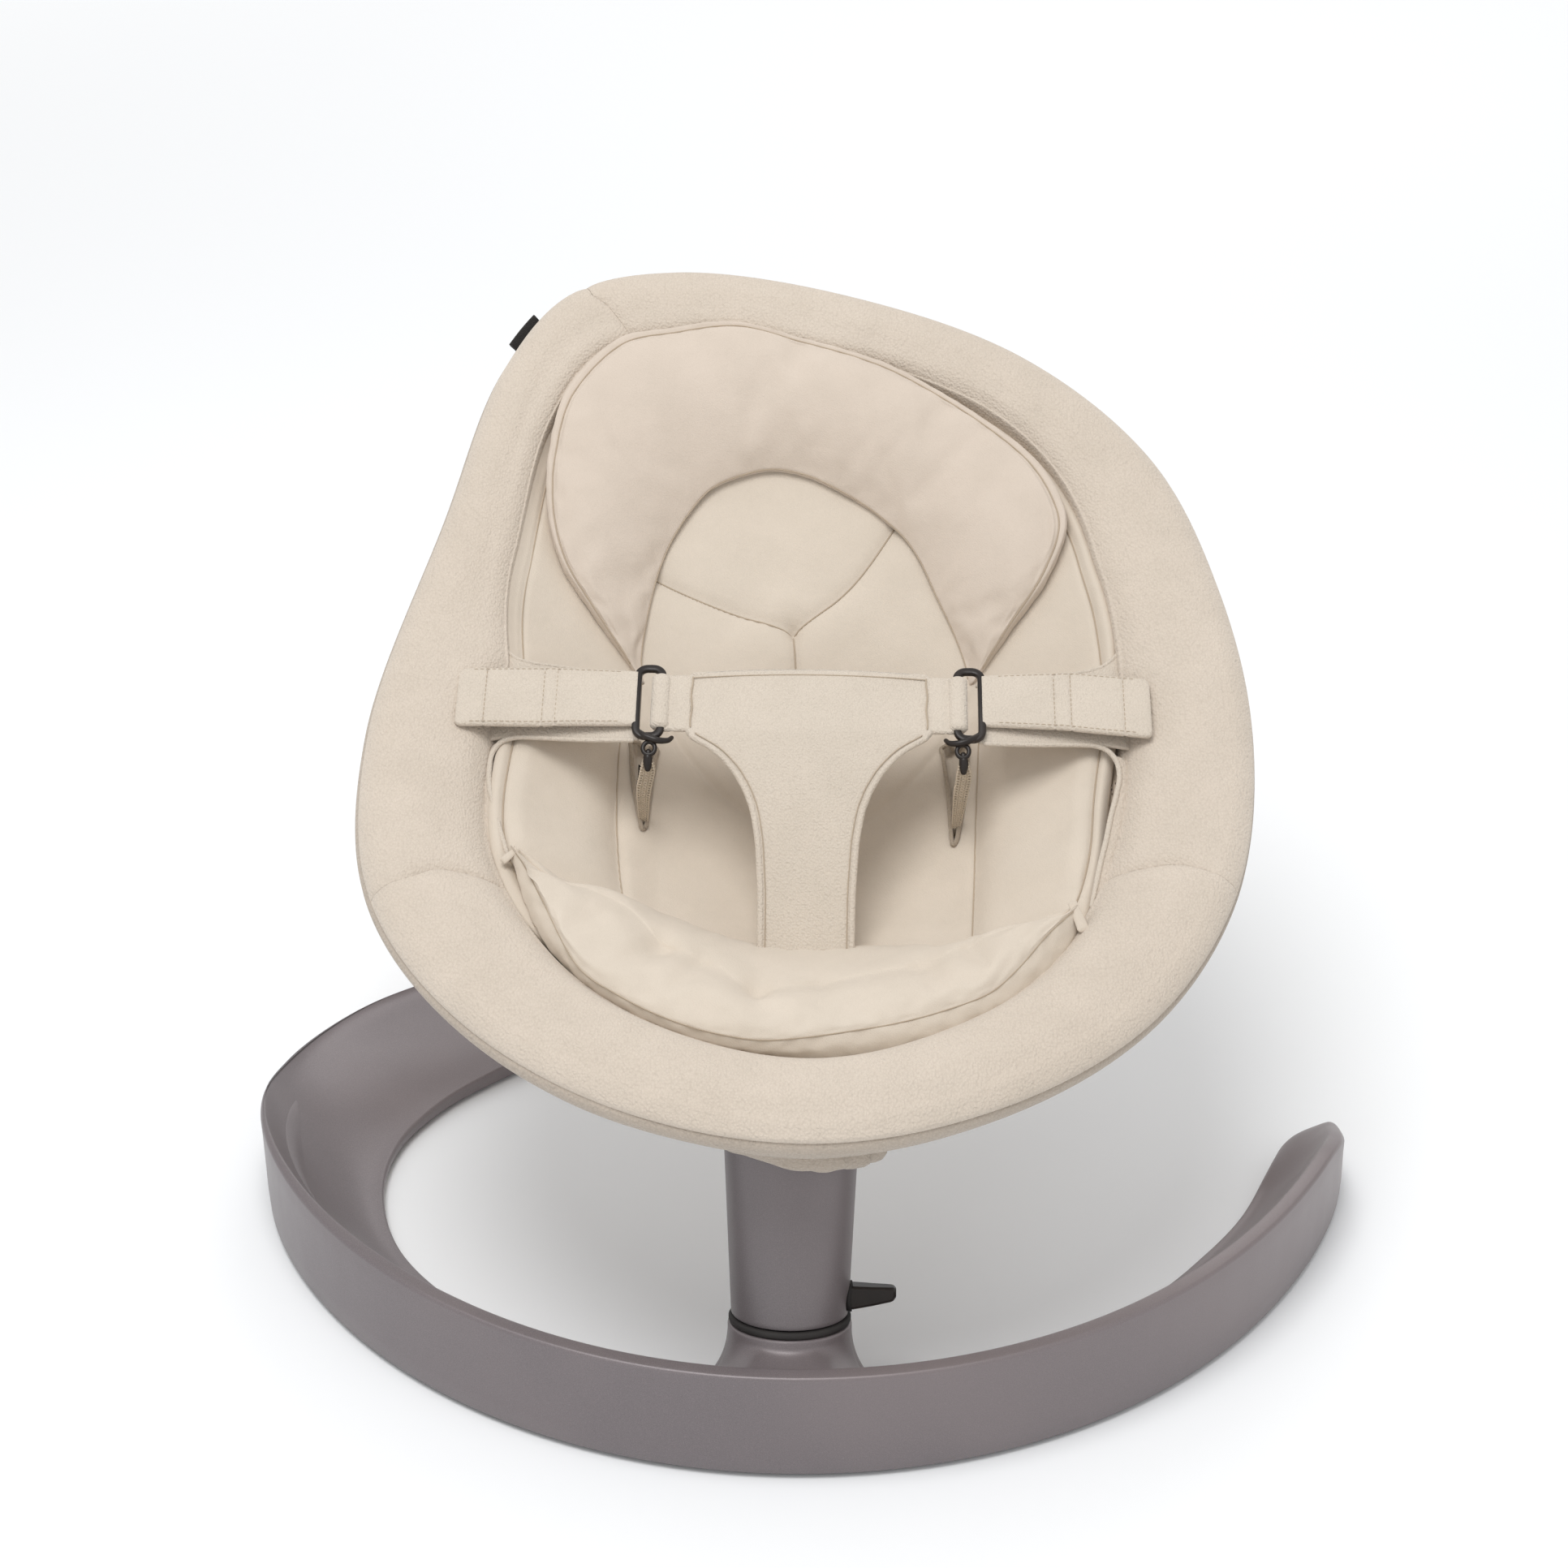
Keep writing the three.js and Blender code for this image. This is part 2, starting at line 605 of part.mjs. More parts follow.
// a point of the rim at a station that may lie between two whole stations:
// inward is the distance in from the outline, up is the height over the rim line
function rimPoint(station, inward, up) {
  const i = Math.floor(station)
  const t = station - i
  const whole = k => {
    const p = rimStations[((k % RIM_STATIONS) + RIM_STATIONS) % RIM_STATIONS]
    const toCentre = centreOf.clone().sub(p).normalize()
    const q = p.clone().addScaledVector(toCentre, inward(bandWidth(p.x, p.y)))
    return new THREE.Vector3(q.x, q.y, rimLine(p.y) + up)
  }
  return t ? whole(i).lerp(whole(i + 1), t) : whole(i)
}

// station on the outline nearest to a point of the seat plane, to a tenth of a step
function nearestStation([u, v]) {
  const target = new THREE.Vector3(u, v, 0)
  let best = 0
  let bestDistance = Infinity
  for (let k = 0; k < RIM_STATIONS * 10; k++) {
    const i = Math.floor(k / 10)
    const p = rimStations[i].clone().lerp(rimStations[(i + 1) % RIM_STATIONS], (k % 10) / 10)
    const distance = p.distanceTo(target)
    if (distance < bestDistance) {
      bestDistance = distance
      best = k / 10
    }
  }
  return best
}

// ---------------------------------------------------------------- seat frame hoop and rim covers
const circle = (count, from, to) =>
  Array.from({ length: count }, (_, i) => mix(from, to, i / (count - 1)) * DEG)

function frameHoop() {
  const rows = rimStations.map((_, i) => Array.from({ length: 10 }, (_, k) => {
    const a = k * 36 * DEG
    return rimPoint(i, () => EDGE_R + FRAME_R * Math.cos(a), FRAME_R * Math.sin(a))
  }))
  return loft(rows, true)
}
node('seat_frame_hoop', onSeat(frameHoop()), ALLOY)

// hooked section of the rim cover: it wraps the hoop and runs in to the sling
function coverSection(station) {
  const wrap = FRAME_R + 1.2
  const at = (inward, up) => rimPoint(station, inward, up)
  const outer = circle(6, 75, 262).map(a => at(() => EDGE_R + EDGE_R * Math.cos(a), EDGE_R * Math.sin(a)))
  const inner = circle(6, 260, 62).map(a => at(() => EDGE_R + wrap * Math.cos(a), wrap * Math.sin(a)))
  return [
    at(b => b, -8),
    at(b => b - 12, -2.5),
    at(b => b * 0.62, 6.5),
    at(b => b * 0.4, 12),
    ...outer,
    ...inner,
    at(b => b * 0.42, 12 - COVER_T),
    at(b => b * 0.62, 6.5 - COVER_T),
    at(b => b - 12, -2.5 - COVER_T),
    at(b => b, -8 - COVER_T),
  ]
}

function rimCover(from, to) {
  const share = GAP / 2 / (rimCurve.getLength() / RIM_STATIONS)
  const rows = [coverSection(from + share)]
  for (let i = Math.floor(from) + 1; i < to; i++) {
    if (i - from > 0.05 && to - i > 0.05) rows.push(coverSection(i))
  }
  rows.push(coverSection(to - share))
  return onSeat(loft(rows))
}
const headSeam = nearestStation(HEAD_SEAM)
const leftSeam = nearestStation(LEFT_SEAM)
const rightSeam = nearestStation(RIGHT_SEAM)
node('rim_cover_foot', rimCover(leftSeam, rightSeam + RIM_STATIONS), CREAM)
node('rim_cover_right', rimCover(rightSeam, headSeam), CREAM)
node('rim_cover_left', rimCover(headSeam, leftSeam), CREAM)

// ---------------------------------------------------------------- sling, insert, pillow, bolster
const BOWL_RINGS = [1, 0.84, 0.62, 0.34, 0]

function innerLoop(i) {
  return rimPoint(i, b => b, 0)
}

// share of the way from the bowl's middle to its edge
function bowlShare(u, v) {
  const angle = Math.atan2(v - BOWL_CENTRE[1], u - BOWL_CENTRE[0])
  let edge = 1
  for (let i = 0; i < RIM_STATIONS; i++) {
    const a = innerLoop(i).sub(centreOf)
    const b = innerLoop(i + 1).sub(centreOf)
    const turn = x => Math.atan2(Math.sin(x - angle), Math.cos(x - angle))
    const ta = turn(Math.atan2(a.y, a.x))
    const tb = turn(Math.atan2(b.y, b.x))
    if (ta <= 0 && tb > 0 && tb - ta < 1) {
      const t = -ta / (tb - ta)
      edge = Math.hypot(mix(a.x, b.x, t), mix(a.y, b.y, t))
    }
  }
  return Math.hypot(u - BOWL_CENTRE[0], v - BOWL_CENTRE[1]) / edge
}

function slingTop(u, v) {
  const share = Math.min(1, bowlShare(u, v))
  const depth = BOWL_DEPTH * (1 - 0.38 * smooth((v - 230) / 260))
  return rimLine(v) - SLING_DROP - depth * Math.pow(1 - Math.pow(share, 2.2), 0.85)
}

// layer of the bowl between two heights over the sling, on the sling's own facets
function bowlLayer(low, high) {
  const ring = (share, lift) => rimStations.map((_, i) => {
    const p = centreOf.clone().lerp(innerLoop(i), share)
    return new THREE.Vector3(p.x, p.y, slingTop(p.x, p.y) + lift)
  })
  return bowlSolid(BOWL_RINGS.map(s => ring(s, high)), BOWL_RINGS.map(s => ring(s, low)), true)
}

function prism(points, closed = true) {
  const outline = closed ? new THREE.CatmullRomCurve3(
    points.map(([u, v]) => new THREE.Vector3(u, v, 0)), true, 'centripetal')
    .getSpacedPoints(40).slice(0, 40).map(p => new THREE.Vector2(p.x, p.y))
    : points.map(([u, v]) => new THREE.Vector2(u, v))
  const options = { depth: SEAT_LEN, bevelEnabled: false, steps: 1 }
  return new THREE.ExtrudeGeometry(new THREE.Shape(outline), options).translate(0, 0, -SEAT_LEN / 2)
}

node('sling', onSeat(bowlLayer(-SLING_T, 0)), MESH)

const BOWL_SPAN = 240 // wider than the bowl on each side
// front roll: from the rim's foot up to a curved edge over the seat base
const BOLSTER_INNER = [[-168, 206], [-120, 174], [-60, 157], [0, 152], [60, 154], [115, 162], [162, 180]]
function bolsterOutline(offset) {
  const far = [[BOWL_SPAN, 196 + offset], [BOWL_SPAN, -40], [-BOWL_SPAN, -40], [-BOWL_SPAN, 228 + offset]]
  return [...BOLSTER_INNER.map(([u, v]) => [u, v + offset]), ...far]
}
// everything that lies in the bowl stays this share clear of the rim band's inner edge
const LAYER_REACH = 0.975
const layerPrism = prism(rimStations.map((_, i) => {
  const p = centreOf.clone().lerp(innerLoop(i), LAYER_REACH)
  return [p.x, p.y]
}), false)
const inBowl = (low, high) => common(bowlLayer(low, high), layerPrism)
node('insert_pad', onSeat(cut(inBowl(GAP, INSERT_T), prism(bolsterOutline(2 * GAP), false))), PALE)
node('bolster', onSeat(common(inBowl(GAP, BOLSTER_T), prism(bolsterOutline(0), false))), PALE)

const PILLOW_OUTLINE = [
  [-99, 360], [-146, 428], [-158, 492], [-130, 560], [-54, 584], [28, 573], [98, 535], [142, 486],
  [153, 450], [138, 410], [96, 358],
  [87, 388], [61, 450], [31, 487], [-24, 500], [-60, 488], [-78, 458], [-95, 418],
]
node('head_pillow', onSeat(common(inBowl(INSERT_T + GAP, INSERT_T + PILLOW_T), prism(PILLOW_OUTLINE))), PALE)

// ---------------------------------------------------------------- under cover with its skirt round the post
const toSeat = seatFrame.clone().invert()

function underCover() {
  const ringShares = [0, 0.07, 0.2, 0.42, 0.64, 0.82, 0.92, 1]
  const middle = pivot.clone().applyMatrix4(toSeat)
  const across = new THREE.Vector3(1, 0, 0)
  const back = new THREE.Vector3().crossVectors(swayAxis, across)
  const skirtTop = swayFoot.clone().addScaledVector(swayAxis, POST_LEN - SKIRT_DROP)
  const skirtCentre = skirtTop.addScaledVector(back, SKIRT_BACK)
  const rings = ringShares.map(t => rimStations.map((_, i) => {
    const edge = rimPoint(i, () => EDGE_R, -EDGE_R - 2 * GAP - 0.4)
    const angle = Math.atan2(edge.y - middle.y, edge.x - middle.x)
    const low = skirtCentre.clone().addScaledVector(across, SKIRT_R * Math.cos(angle))
      .addScaledVector(back, SKIRT_R * Math.sin(angle)).applyMatrix4(toSeat)
    const p = edge.clone().lerp(low, t)
    const share = bowlShare(p.x, p.y)
    const room = UNDER_GAP * smooth((1.35 - share) / 0.5)
    const hang = Math.min(slingTop(p.x, p.y) - SLING_T - 2 - room, edge.z - 6 * t)
    const shape = mix(edge.z, hang, smooth(t / 0.1))
    p.z = mix(shape, low.z, smooth((t - 0.72) / 0.28))
    return p
  }))
  return shellOf(rings, UNDER_T)
}

// closed shell: rings of points and the same rings pushed in along the surface normal
function shellOf(rings, thickness) {
  const n = rings[0].length
  const normalAt = (r, i) => {
    const before = rings[Math.max(0, r - 1)][i]
    const after = rings[Math.min(rings.length - 1, r + 1)][i]
    const along = after.clone().sub(before)
    const round = rings[r][(i + 1) % n].clone().sub(rings[r][(i + n - 1) % n])
    const normal = round.cross(along).normalize()
    return normal
  }
  const shifted = rings.map((ring, r) => ring.map((p, i) =>
    p.clone().addScaledVector(normalAt(r, i), thickness)))
  return bowlSolid(rings, shifted, false)
}
node('under_cover', onSeat(underCover()), PALE)

// ---------------------------------------------------------------- recline hub on the post
const pivotInSeat = pivot.clone().applyMatrix4(toSeat)
const PLUG_LEN = 14
const FLANGE_T = 5

// a pin or hole along X through a point of the post's or the seat's frame
const crossPin = (radius, length, y, z, x = 0) =>
  new THREE.CylinderGeometry(radius, radius, length, 16).rotateZ(Math.PI / 2).translate(x, y, z)

function hubYoke() {
  const flangeTop = POST_LEN + GAP + FLANGE_T
  const base = turned([
    [0, POST_LEN - PLUG_LEN], [postBore - GAP, POST_LEN - PLUG_LEN], [postBore - GAP, POST_LEN + GAP],
    [POST_R_HIGH, POST_LEN + GAP], [POST_R_HIGH, flangeTop], [0, flangeTop],
  ])
  const ears = [-1, 1].map(side => {
    const inner = side > 0 ? EAR_X : -EAR_X - EAR_T
    return join(block([inner, -EAR_R, flangeTop - 1], [inner + EAR_T, EAR_R, PIVOT_S]),
      crossPin(EAR_R, EAR_T, 0, PIVOT_S, inner + EAR_T / 2))
  })
  const hole = crossPin(PIVOT_PIN_R + GAP, 100, 0, PIVOT_S)
  return onPost(cut(join(base, ...ears), hole))
}
node('hub_yoke', hubYoke(), DARK)
const pinLength = 2 * (EAR_X + EAR_T + QUAD_T) + 5
node('recline_pin', onPost(crossPin(PIVOT_PIN_R, pinLength, 0, PIVOT_S)), STEEL)

// notched sector on the right ear, facing the latch
const latchWay = new THREE.Vector2(BLOCK_V - pivotInSeat.y, BLOCK_W - pivotInSeat.z).normalize()
const latchAngle = Math.atan2(latchWay.y, latchWay.x)

function reclineQuadrant() {
  const shape = new THREE.Shape()
  const reach = 34 * DEG
  shape.absarc(0, 0, QUAD_R, latchAngle - reach, latchAngle + reach, false)
  shape.absarc(0, 0, EAR_R - 1, latchAngle + 2 * reach, latchAngle - 2 * reach + 2 * Math.PI, false)
  shape.closePath()
  const plate = new THREE.ExtrudeGeometry(shape, { depth: QUAD_T, bevelEnabled: false, curveSegments: 8 })
  const notches = [-1, 0, 1].map(k => {
    const a = latchAngle - k * RECLINE_STEP * DEG
    return new THREE.CylinderGeometry(1.6, 1.6, 20, 10).rotateX(Math.PI / 2)
      .translate(QUAD_R * Math.cos(a), QUAD_R * Math.sin(a), 0)
  })
  const hole = new THREE.CylinderGeometry(PIVOT_PIN_R + GAP, PIVOT_PIN_R + GAP, 20, 20).rotateX(Math.PI / 2)
  const sector = cut(plate, hole, ...notches)
  // shape X, Y become the seat's along and up
  const turn = new THREE.Matrix4().makeBasis(
    new THREE.Vector3(0, 1, 0), new THREE.Vector3(0, 0, 1), new THREE.Vector3(1, 0, 0))
  sector.applyMatrix4(turn)
  sector.translate(EAR_X + EAR_T + GAP - SEAT_X, pivotInSeat.y, pivotInSeat.z)
  return onSeat(sector)
}
node('recline_quadrant', reclineQuadrant(), STEEL)

// ---------------------------------------------------------------- seat bracket, arms and strut
const latchBox = grow => {
  const far = QUAD_R + GAP + LATCH_LEN + (grow ? LATCH_TRAVEL + GAP : 0)
  const half = LATCH_H / 2 + grow
  const box = block([EAR_X + EAR_T - SEAT_X - grow, QUAD_R + GAP, -half],
    [EAR_X + EAR_T + QUAD_T + 2 * GAP - SEAT_X + grow, far, half])
  return box.rotateX(latchAngle).translate(0, pivotInSeat.y, pivotInSeat.z)
}

function extrudeAcross(points, x0, x1) {
  const shape = new THREE.Shape(points.map(([v, w]) => new THREE.Vector2(v, w)))
  const solid = new THREE.ExtrudeGeometry(shape, { depth: x1 - x0, bevelEnabled: false })
  const turn = new THREE.Matrix4().makeBasis(
    new THREE.Vector3(0, 1, 0), new THREE.Vector3(0, 0, 1), new THREE.Vector3(1, 0, 0))
  return solid.applyMatrix4(turn).translate(x0, 0, 0)
}

const reclinerPin = (radius, length) => crossPin(radius, length, RECLINER_V, RECLINER_W0, -SEAT_X)
const barBox = grow => block([-BLOCK_HALF - SEAT_X - grow, BLOCK_V - 8 - grow, BLOCK_W - 9 - grow],
  [BLOCK_HALF - SEAT_X + grow, BLOCK_V + 8 + grow, BLOCK_W + 9 + grow])

function seatBracket() {
  const half = EAR_X - GAP
  const { y: pv, z: pw } = pivotInSeat
  const neck = extrudeAcross([
    [pv - 6, pw + 9], [pv + 8, pw + 10], [BLOCK_V + 8, BLOCK_W + 9],
    [BLOCK_V + 8, BLOCK_W - 9], [BLOCK_V - 10, BLOCK_W - 9], [pv - 4, pw - 10],
  ], -half - SEAT_X, half - SEAT_X)
  const eye = crossPin(LUG_R, 2 * half, pv, pw, -SEAT_X)
  const leverEars = [-1, 1].map(side => {
    const x = side > 0 ? RECLINER_W / 2 + GAP : -RECLINER_W / 2 - GAP - 4
    return block([x - SEAT_X, BLOCK_V - 1, BLOCK_W - 22], [x + 4 - SEAT_X, BLOCK_V + 8, BLOCK_W - 8])
  })
  return onSeat(cut(join(neck, eye, barBox(0), ...leverEars),
    crossPin(PIVOT_PIN_R + GAP, 100, pv, pw),
    reclinerPin(RECLINER_PIN_R + GAP, 60),
    latchBox(GAP)))
}
node('seat_bracket', seatBracket(), DARK)
node('recline_latch', onSeat(latchBox(0)), STEEL)

function sweep(path, radius, count, sides = 10) {
  const curve = new THREE.CatmullRomCurve3(path, false, 'centripetal')
  const shape = new THREE.Shape(Array.from({ length: sides }, (_, k) => new THREE.Vector2(
    radius * Math.cos(k * 2 * Math.PI / sides), radius * Math.sin(k * 2 * Math.PI / sides))))
  const solid = new THREE.ExtrudeGeometry(shape, { steps: count, extrudePath: curve })
  return outward(mergeVertices(bareCopy(solid), 1e-3))
}

// the hoop again, a clearance thicker, to saddle the arms against it
const hoopSeat = () => loft(rimStations.map((_, i) => Array.from({ length: 10 }, (_, k) => {
  const a = k * 36 * DEG
  const r = FRAME_R + GAP
  return rimPoint(i, () => EDGE_R + r * Math.cos(a), r * Math.sin(a))
})), true)

const underSling = (u, v, drop) => new THREE.Vector3(u, v, slingTop(u, v) - SLING_T - drop)

function sideArm(side) {
  const end = nearestStation([side * 246, ARM_END_V])
  const drop = ARM_R + ARM_CLEAR
  const path = [
    new THREE.Vector3(side * (BLOCK_HALF - 4) - SEAT_X, BLOCK_V, BLOCK_W),
    ...ARM_ROUTE.map(([u, v]) => underSling(side * u, v, drop)),
    rimPoint(end, () => BAND_SIDE - 7, -27),
    rimPoint(end, () => BAND_SIDE - 33, -11.5),
    rimPoint(end, () => EDGE_R + 4, -3),
  ]
  return onSeat(cut(sweep(path, ARM_R, 14), hoopSeat(), barBox(GAP)))
}
node('seat_arm_left', sideArm(-1), ALLOY)
node('seat_arm_right', sideArm(1), ALLOY)

function footStrut() {
  const end = nearestStation([SEAT_X, 0])
  const path = [
    new THREE.Vector3(-SEAT_X, pivotInSeat.y - 3, pivotInSeat.z + 9 + GAP + STRUT_R * 0.8),
    new THREE.Vector3(-SEAT_X, pivotInSeat.y - 18, pivotInSeat.z + 22),
    rimPoint(end, () => EDGE_R + 4, -3),
  ]
  const eye = crossPin(LUG_R + GAP, 50, pivotInSeat.y, pivotInSeat.z)
  return onSeat(cut(sweep(path, STRUT_R, 6), hoopSeat(), eye))
}
node('foot_strut', footStrut(), ALLOY)

// recline lever: a paddle that hangs out of the skirt behind the post
function reclineLever() {
  const side = [[-5, -2], [1, -5], [-23, -16], [-36, -36], [-41, -35], [-28, -11]]
  const paddle = extrudeAcross(side.map(([v, w]) => [RECLINER_V + v, RECLINER_W0 + w]),
    -RECLINER_W / 2 - SEAT_X, RECLINER_W / 2 - SEAT_X)
  const eye = crossPin(RECLINER_EYE_R, RECLINER_W, RECLINER_V, RECLINER_W0, -SEAT_X)
  return onSeat(cut(join(paddle, eye), reclinerPin(RECLINER_PIN_R + GAP, 60)))
}
node('recline_lever', reclineLever(), DARK)
node('recline_lever_pin', onSeat(reclinerPin(RECLINER_PIN_R, RECLINER_W + 8)), STEEL)

// ---------------------------------------------------------------- harness
const insertTop = (u, v) => slingTop(u, v) + INSERT_T

// strip of constant thickness across the seat: [across, half width, middle height] stations
function strip(stations, middleV, thickness) {
  return onSeat(loft(stations.map(([u, half, w]) => [
    new THREE.Vector3(u, middleV - half, w - thickness / 2),
    new THREE.Vector3(u, middleV + half, w - thickness / 2),
    new THREE.Vector3(u, middleV + half, w + thickness / 2),
    new THREE.Vector3(u, middleV - half, w + thickness / 2),
  ])))
}

function crotchPad() {
  const rootV = CROTCH_SHAPE[0][0]
  const rootHalf = CROTCH_SHAPE[0][1]
  const root = Math.max(insertTop(rootHalf, rootV), insertTop(-rootHalf, rootV)) + 3 * GAP + PAD_T / 2
  const barLow = BELT_V - BAR_HALF
  const height = v => mix(root, BELT_W, Math.min(1, (v - rootV) / (barLow - rootV)))
  const rows = [...CROTCH_SHAPE, [barLow, BAR_W - 2], [BELT_V, BAR_W], [BELT_V + BAR_HALF, BAR_W - 2]]
  const pad = loft(rows.map(([v, half]) => [
    new THREE.Vector3(-half, v, height(v) - PAD_T / 2), new THREE.Vector3(half, v, height(v) - PAD_T / 2),
    new THREE.Vector3(half, v, height(v) + PAD_T / 2), new THREE.Vector3(-half, v, height(v) + PAD_T / 2),
  ]))
  const tabEnd = RING_U - RING_W / 2 - RING_WIRE - GAP
  const tabHalf = [STRAP_W / 2, TAB_T / 2]
  const tabs = block([-tabEnd, BELT_V - tabHalf[0], BELT_W - tabHalf[1]],
    [tabEnd, BELT_V + tabHalf[0], BELT_W + tabHalf[1]])
  return onSeat(join(pad, tabs))
}
node('crotch_pad', crotchPad(), CREAM)

function ringLoop(side) {
  const w = RING_W / 2
  const l = RING_L / 2
  const c = 6
  const corners = [
    [w - c, -l], [w, -l + c], [w, l - c], [w - c, l],
    [-w + c, l], [-w, l - c], [-w, -l + c], [-w + c, -l],
  ]
  const rows = corners.map(([x, y], i) => {
    const before = corners[(i + corners.length - 1) % corners.length]
    const after = corners[(i + 1) % corners.length]
    const along = new THREE.Vector3(after[0] - before[0], after[1] - before[1], 0).normalize()
    const out = new THREE.Vector3(along.y, -along.x, 0)
    return Array.from({ length: 8 }, (_, k) => {
      const a = k * 45 * DEG
      return new THREE.Vector3(side * RING_U + x, BELT_V + y, BELT_W)
        .addScaledVector(out, RING_WIRE * Math.cos(a)).add(new THREE.Vector3(0, 0, RING_WIRE * Math.sin(a)))
    })
  })
  return onSeat(loft(rows, true))
}

function harnessSide(side, label) {
  const barU = RING_U + RING_W / 2 + RING_WIRE + GAP
  node(`ring_${label}`, ringLoop(side), DARK)
  const mirror = stations => side > 0 ? stations : stations.map(([u, half, w]) => [-u, half, w])
  node(`waist_strap_${label}`, strip(mirror([
    [barU, STRAP_W / 2, BELT_W - 3.2], [FLAP_MIDDLE, STRAP_W / 2, BELT_W - 6],
    [STRAP_END, STRAP_W / 2, BELT_W - 9.5],
  ]), BELT_V - STRAP_SHIFT, STRAP_T), CREAM)
  node(`waist_flap_${label}`, strip(mirror([
    [barU, FLAP_W / 2, BELT_W], [FLAP_MIDDLE, FLAP_W / 2, BELT_W + 0.4], [FLAP_END, FLAP_W / 2, BELT_W + 1.6],
  ]), BELT_V, FLAP_T), CREAM)
  const hookTop = BELT_V - RING_L / 2 - RING_WIRE - GAP
  const hook = new THREE.CapsuleGeometry(HOOK_R, HOOK_L - 2 * HOOK_R, 4, 10)
    .translate(side * RING_U, hookTop - HOOK_L / 2, BELT_W)
  node(`hook_${label}`, onSeat(hook), DARK)
  const top = new THREE.Vector3(side * RING_U, hookTop - HOOK_L - GAP - 0.4, BELT_W)
  const footV = top.y - TETHER_RUN
  const foot = new THREE.Vector3(side * (RING_U + 2), footV, insertTop(side * (RING_U + 8), footV) + 1.2)
  const middle = top.clone().lerp(foot, 0.5).add(new THREE.Vector3(0, -2, 3))
  const half = TETHER_W / 2
  const rows = [top, middle, foot].map(p => [
    new THREE.Vector3(p.x - half, p.y - 0.7, p.z), new THREE.Vector3(p.x + half, p.y - 0.7, p.z),
    new THREE.Vector3(p.x + half, p.y + 0.7, p.z), new THREE.Vector3(p.x - half, p.y + 0.7, p.z),
  ])
  node(`tether_${label}`, onSeat(loft(rows)), PALE)
}
harnessSide(-1, 'left')
harnessSide(1, 'right')

// blank woven tag sewn into the rim's outer edge, near the head corner
function edgeTag() {
  const middle = nearestStation(TAG_AT)
  const from = middle - TAG_HALF
  const to = middle + TAG_HALF
  const stops = [from, to]
  if (Math.ceil(from) < to) stops.splice(1, 0, Math.ceil(from))
  const roots = stops.map(i => rimPoint(i, () => -TAG_GAP, 0))
  const along = roots[roots.length - 1].clone().sub(roots[0]).normalize()
  const out = new THREE.Vector3(along.y, -along.x, 0)
  if (out.dot(centreOf.clone().sub(roots[0])) > 0) out.negate()
  const row = p => [[0, -1], [1, -1], [1, 1], [0, 1]].map(([far, up]) =>
    p.clone().addScaledVector(out, far * TAG_OUT).add(new THREE.Vector3(0, 0, up * TAG_T / 2)))
  return onSeat(loft(roots.map(row)))
}
node('edge_tag', edgeTag(), BLACK)

// ---------------------------------------------------------------- origin under the middle of the seat
part.updateMatrixWorld(true)
const extent = new THREE.Box3().setFromObject(part)
part.position.set(-(extent.min.x + extent.max.x) / 2, -(extent.min.y + extent.max.y) / 2, -extent.min.z)
part.updateMatrixWorld(true)
export default part
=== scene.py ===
"""Bouncer seat on a crescent base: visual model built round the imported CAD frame."""
import json
import math

import bmesh
import bpy
import numpy as np
from mathutils import Matrix, Vector
from mathutils.kdtree import KDTree


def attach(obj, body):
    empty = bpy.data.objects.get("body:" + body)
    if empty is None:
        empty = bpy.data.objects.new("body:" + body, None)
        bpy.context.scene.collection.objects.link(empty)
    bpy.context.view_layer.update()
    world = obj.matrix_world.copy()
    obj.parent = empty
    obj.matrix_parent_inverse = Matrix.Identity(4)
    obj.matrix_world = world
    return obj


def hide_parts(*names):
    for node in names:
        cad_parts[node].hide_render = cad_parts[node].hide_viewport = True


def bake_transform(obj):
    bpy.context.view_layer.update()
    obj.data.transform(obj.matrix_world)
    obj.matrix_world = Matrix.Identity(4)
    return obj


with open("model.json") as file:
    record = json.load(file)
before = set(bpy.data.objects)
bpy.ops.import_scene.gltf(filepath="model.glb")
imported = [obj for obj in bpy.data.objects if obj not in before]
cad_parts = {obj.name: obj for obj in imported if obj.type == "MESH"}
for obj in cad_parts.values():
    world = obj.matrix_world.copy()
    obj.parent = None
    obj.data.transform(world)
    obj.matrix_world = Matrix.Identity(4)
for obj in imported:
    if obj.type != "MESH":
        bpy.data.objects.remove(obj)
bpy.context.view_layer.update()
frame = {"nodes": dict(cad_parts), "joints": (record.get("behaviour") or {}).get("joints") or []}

# ---------------------------------------------------------------- the CAD's own layout, in millimetres
POST_LEAN = math.radians(20)
POST_LEN = 105.0
PIVOT_S = POST_LEN + 20.0
SWAY_FOOT = np.array([0.0, -283.0, 64.0])
SWAY_AXIS = np.array([0.0, math.sin(POST_LEAN), math.cos(POST_LEAN)])
PIVOT = SWAY_FOOT + SWAY_AXIS * PIVOT_S
recline_at = next(j["pos_m"] for j in frame["joints"] if j["name"] == "recline")
SHIFT = np.array(recline_at) - PIVOT / 1000
SEAT_TILT = math.radians(24)
SEAT_FOOT = np.array([6.0, PIVOT[1] - 79.8, PIVOT[2] + 18.5])


def to_row(points):
    """Layout millimetres to the row frame in metres."""
    return np.asarray(points, float) / 1000 + SHIFT


def on_seat(p):
    """Seat plane (across, along, up) to the layout."""
    p = np.asarray(p, float)
    c, s = math.cos(SEAT_TILT), math.sin(SEAT_TILT)
    u, v, w = p[..., 0], p[..., 1], p[..., 2]
    return np.stack([u, v * c - w * s, v * s + w * c], -1) + SEAT_FOOT


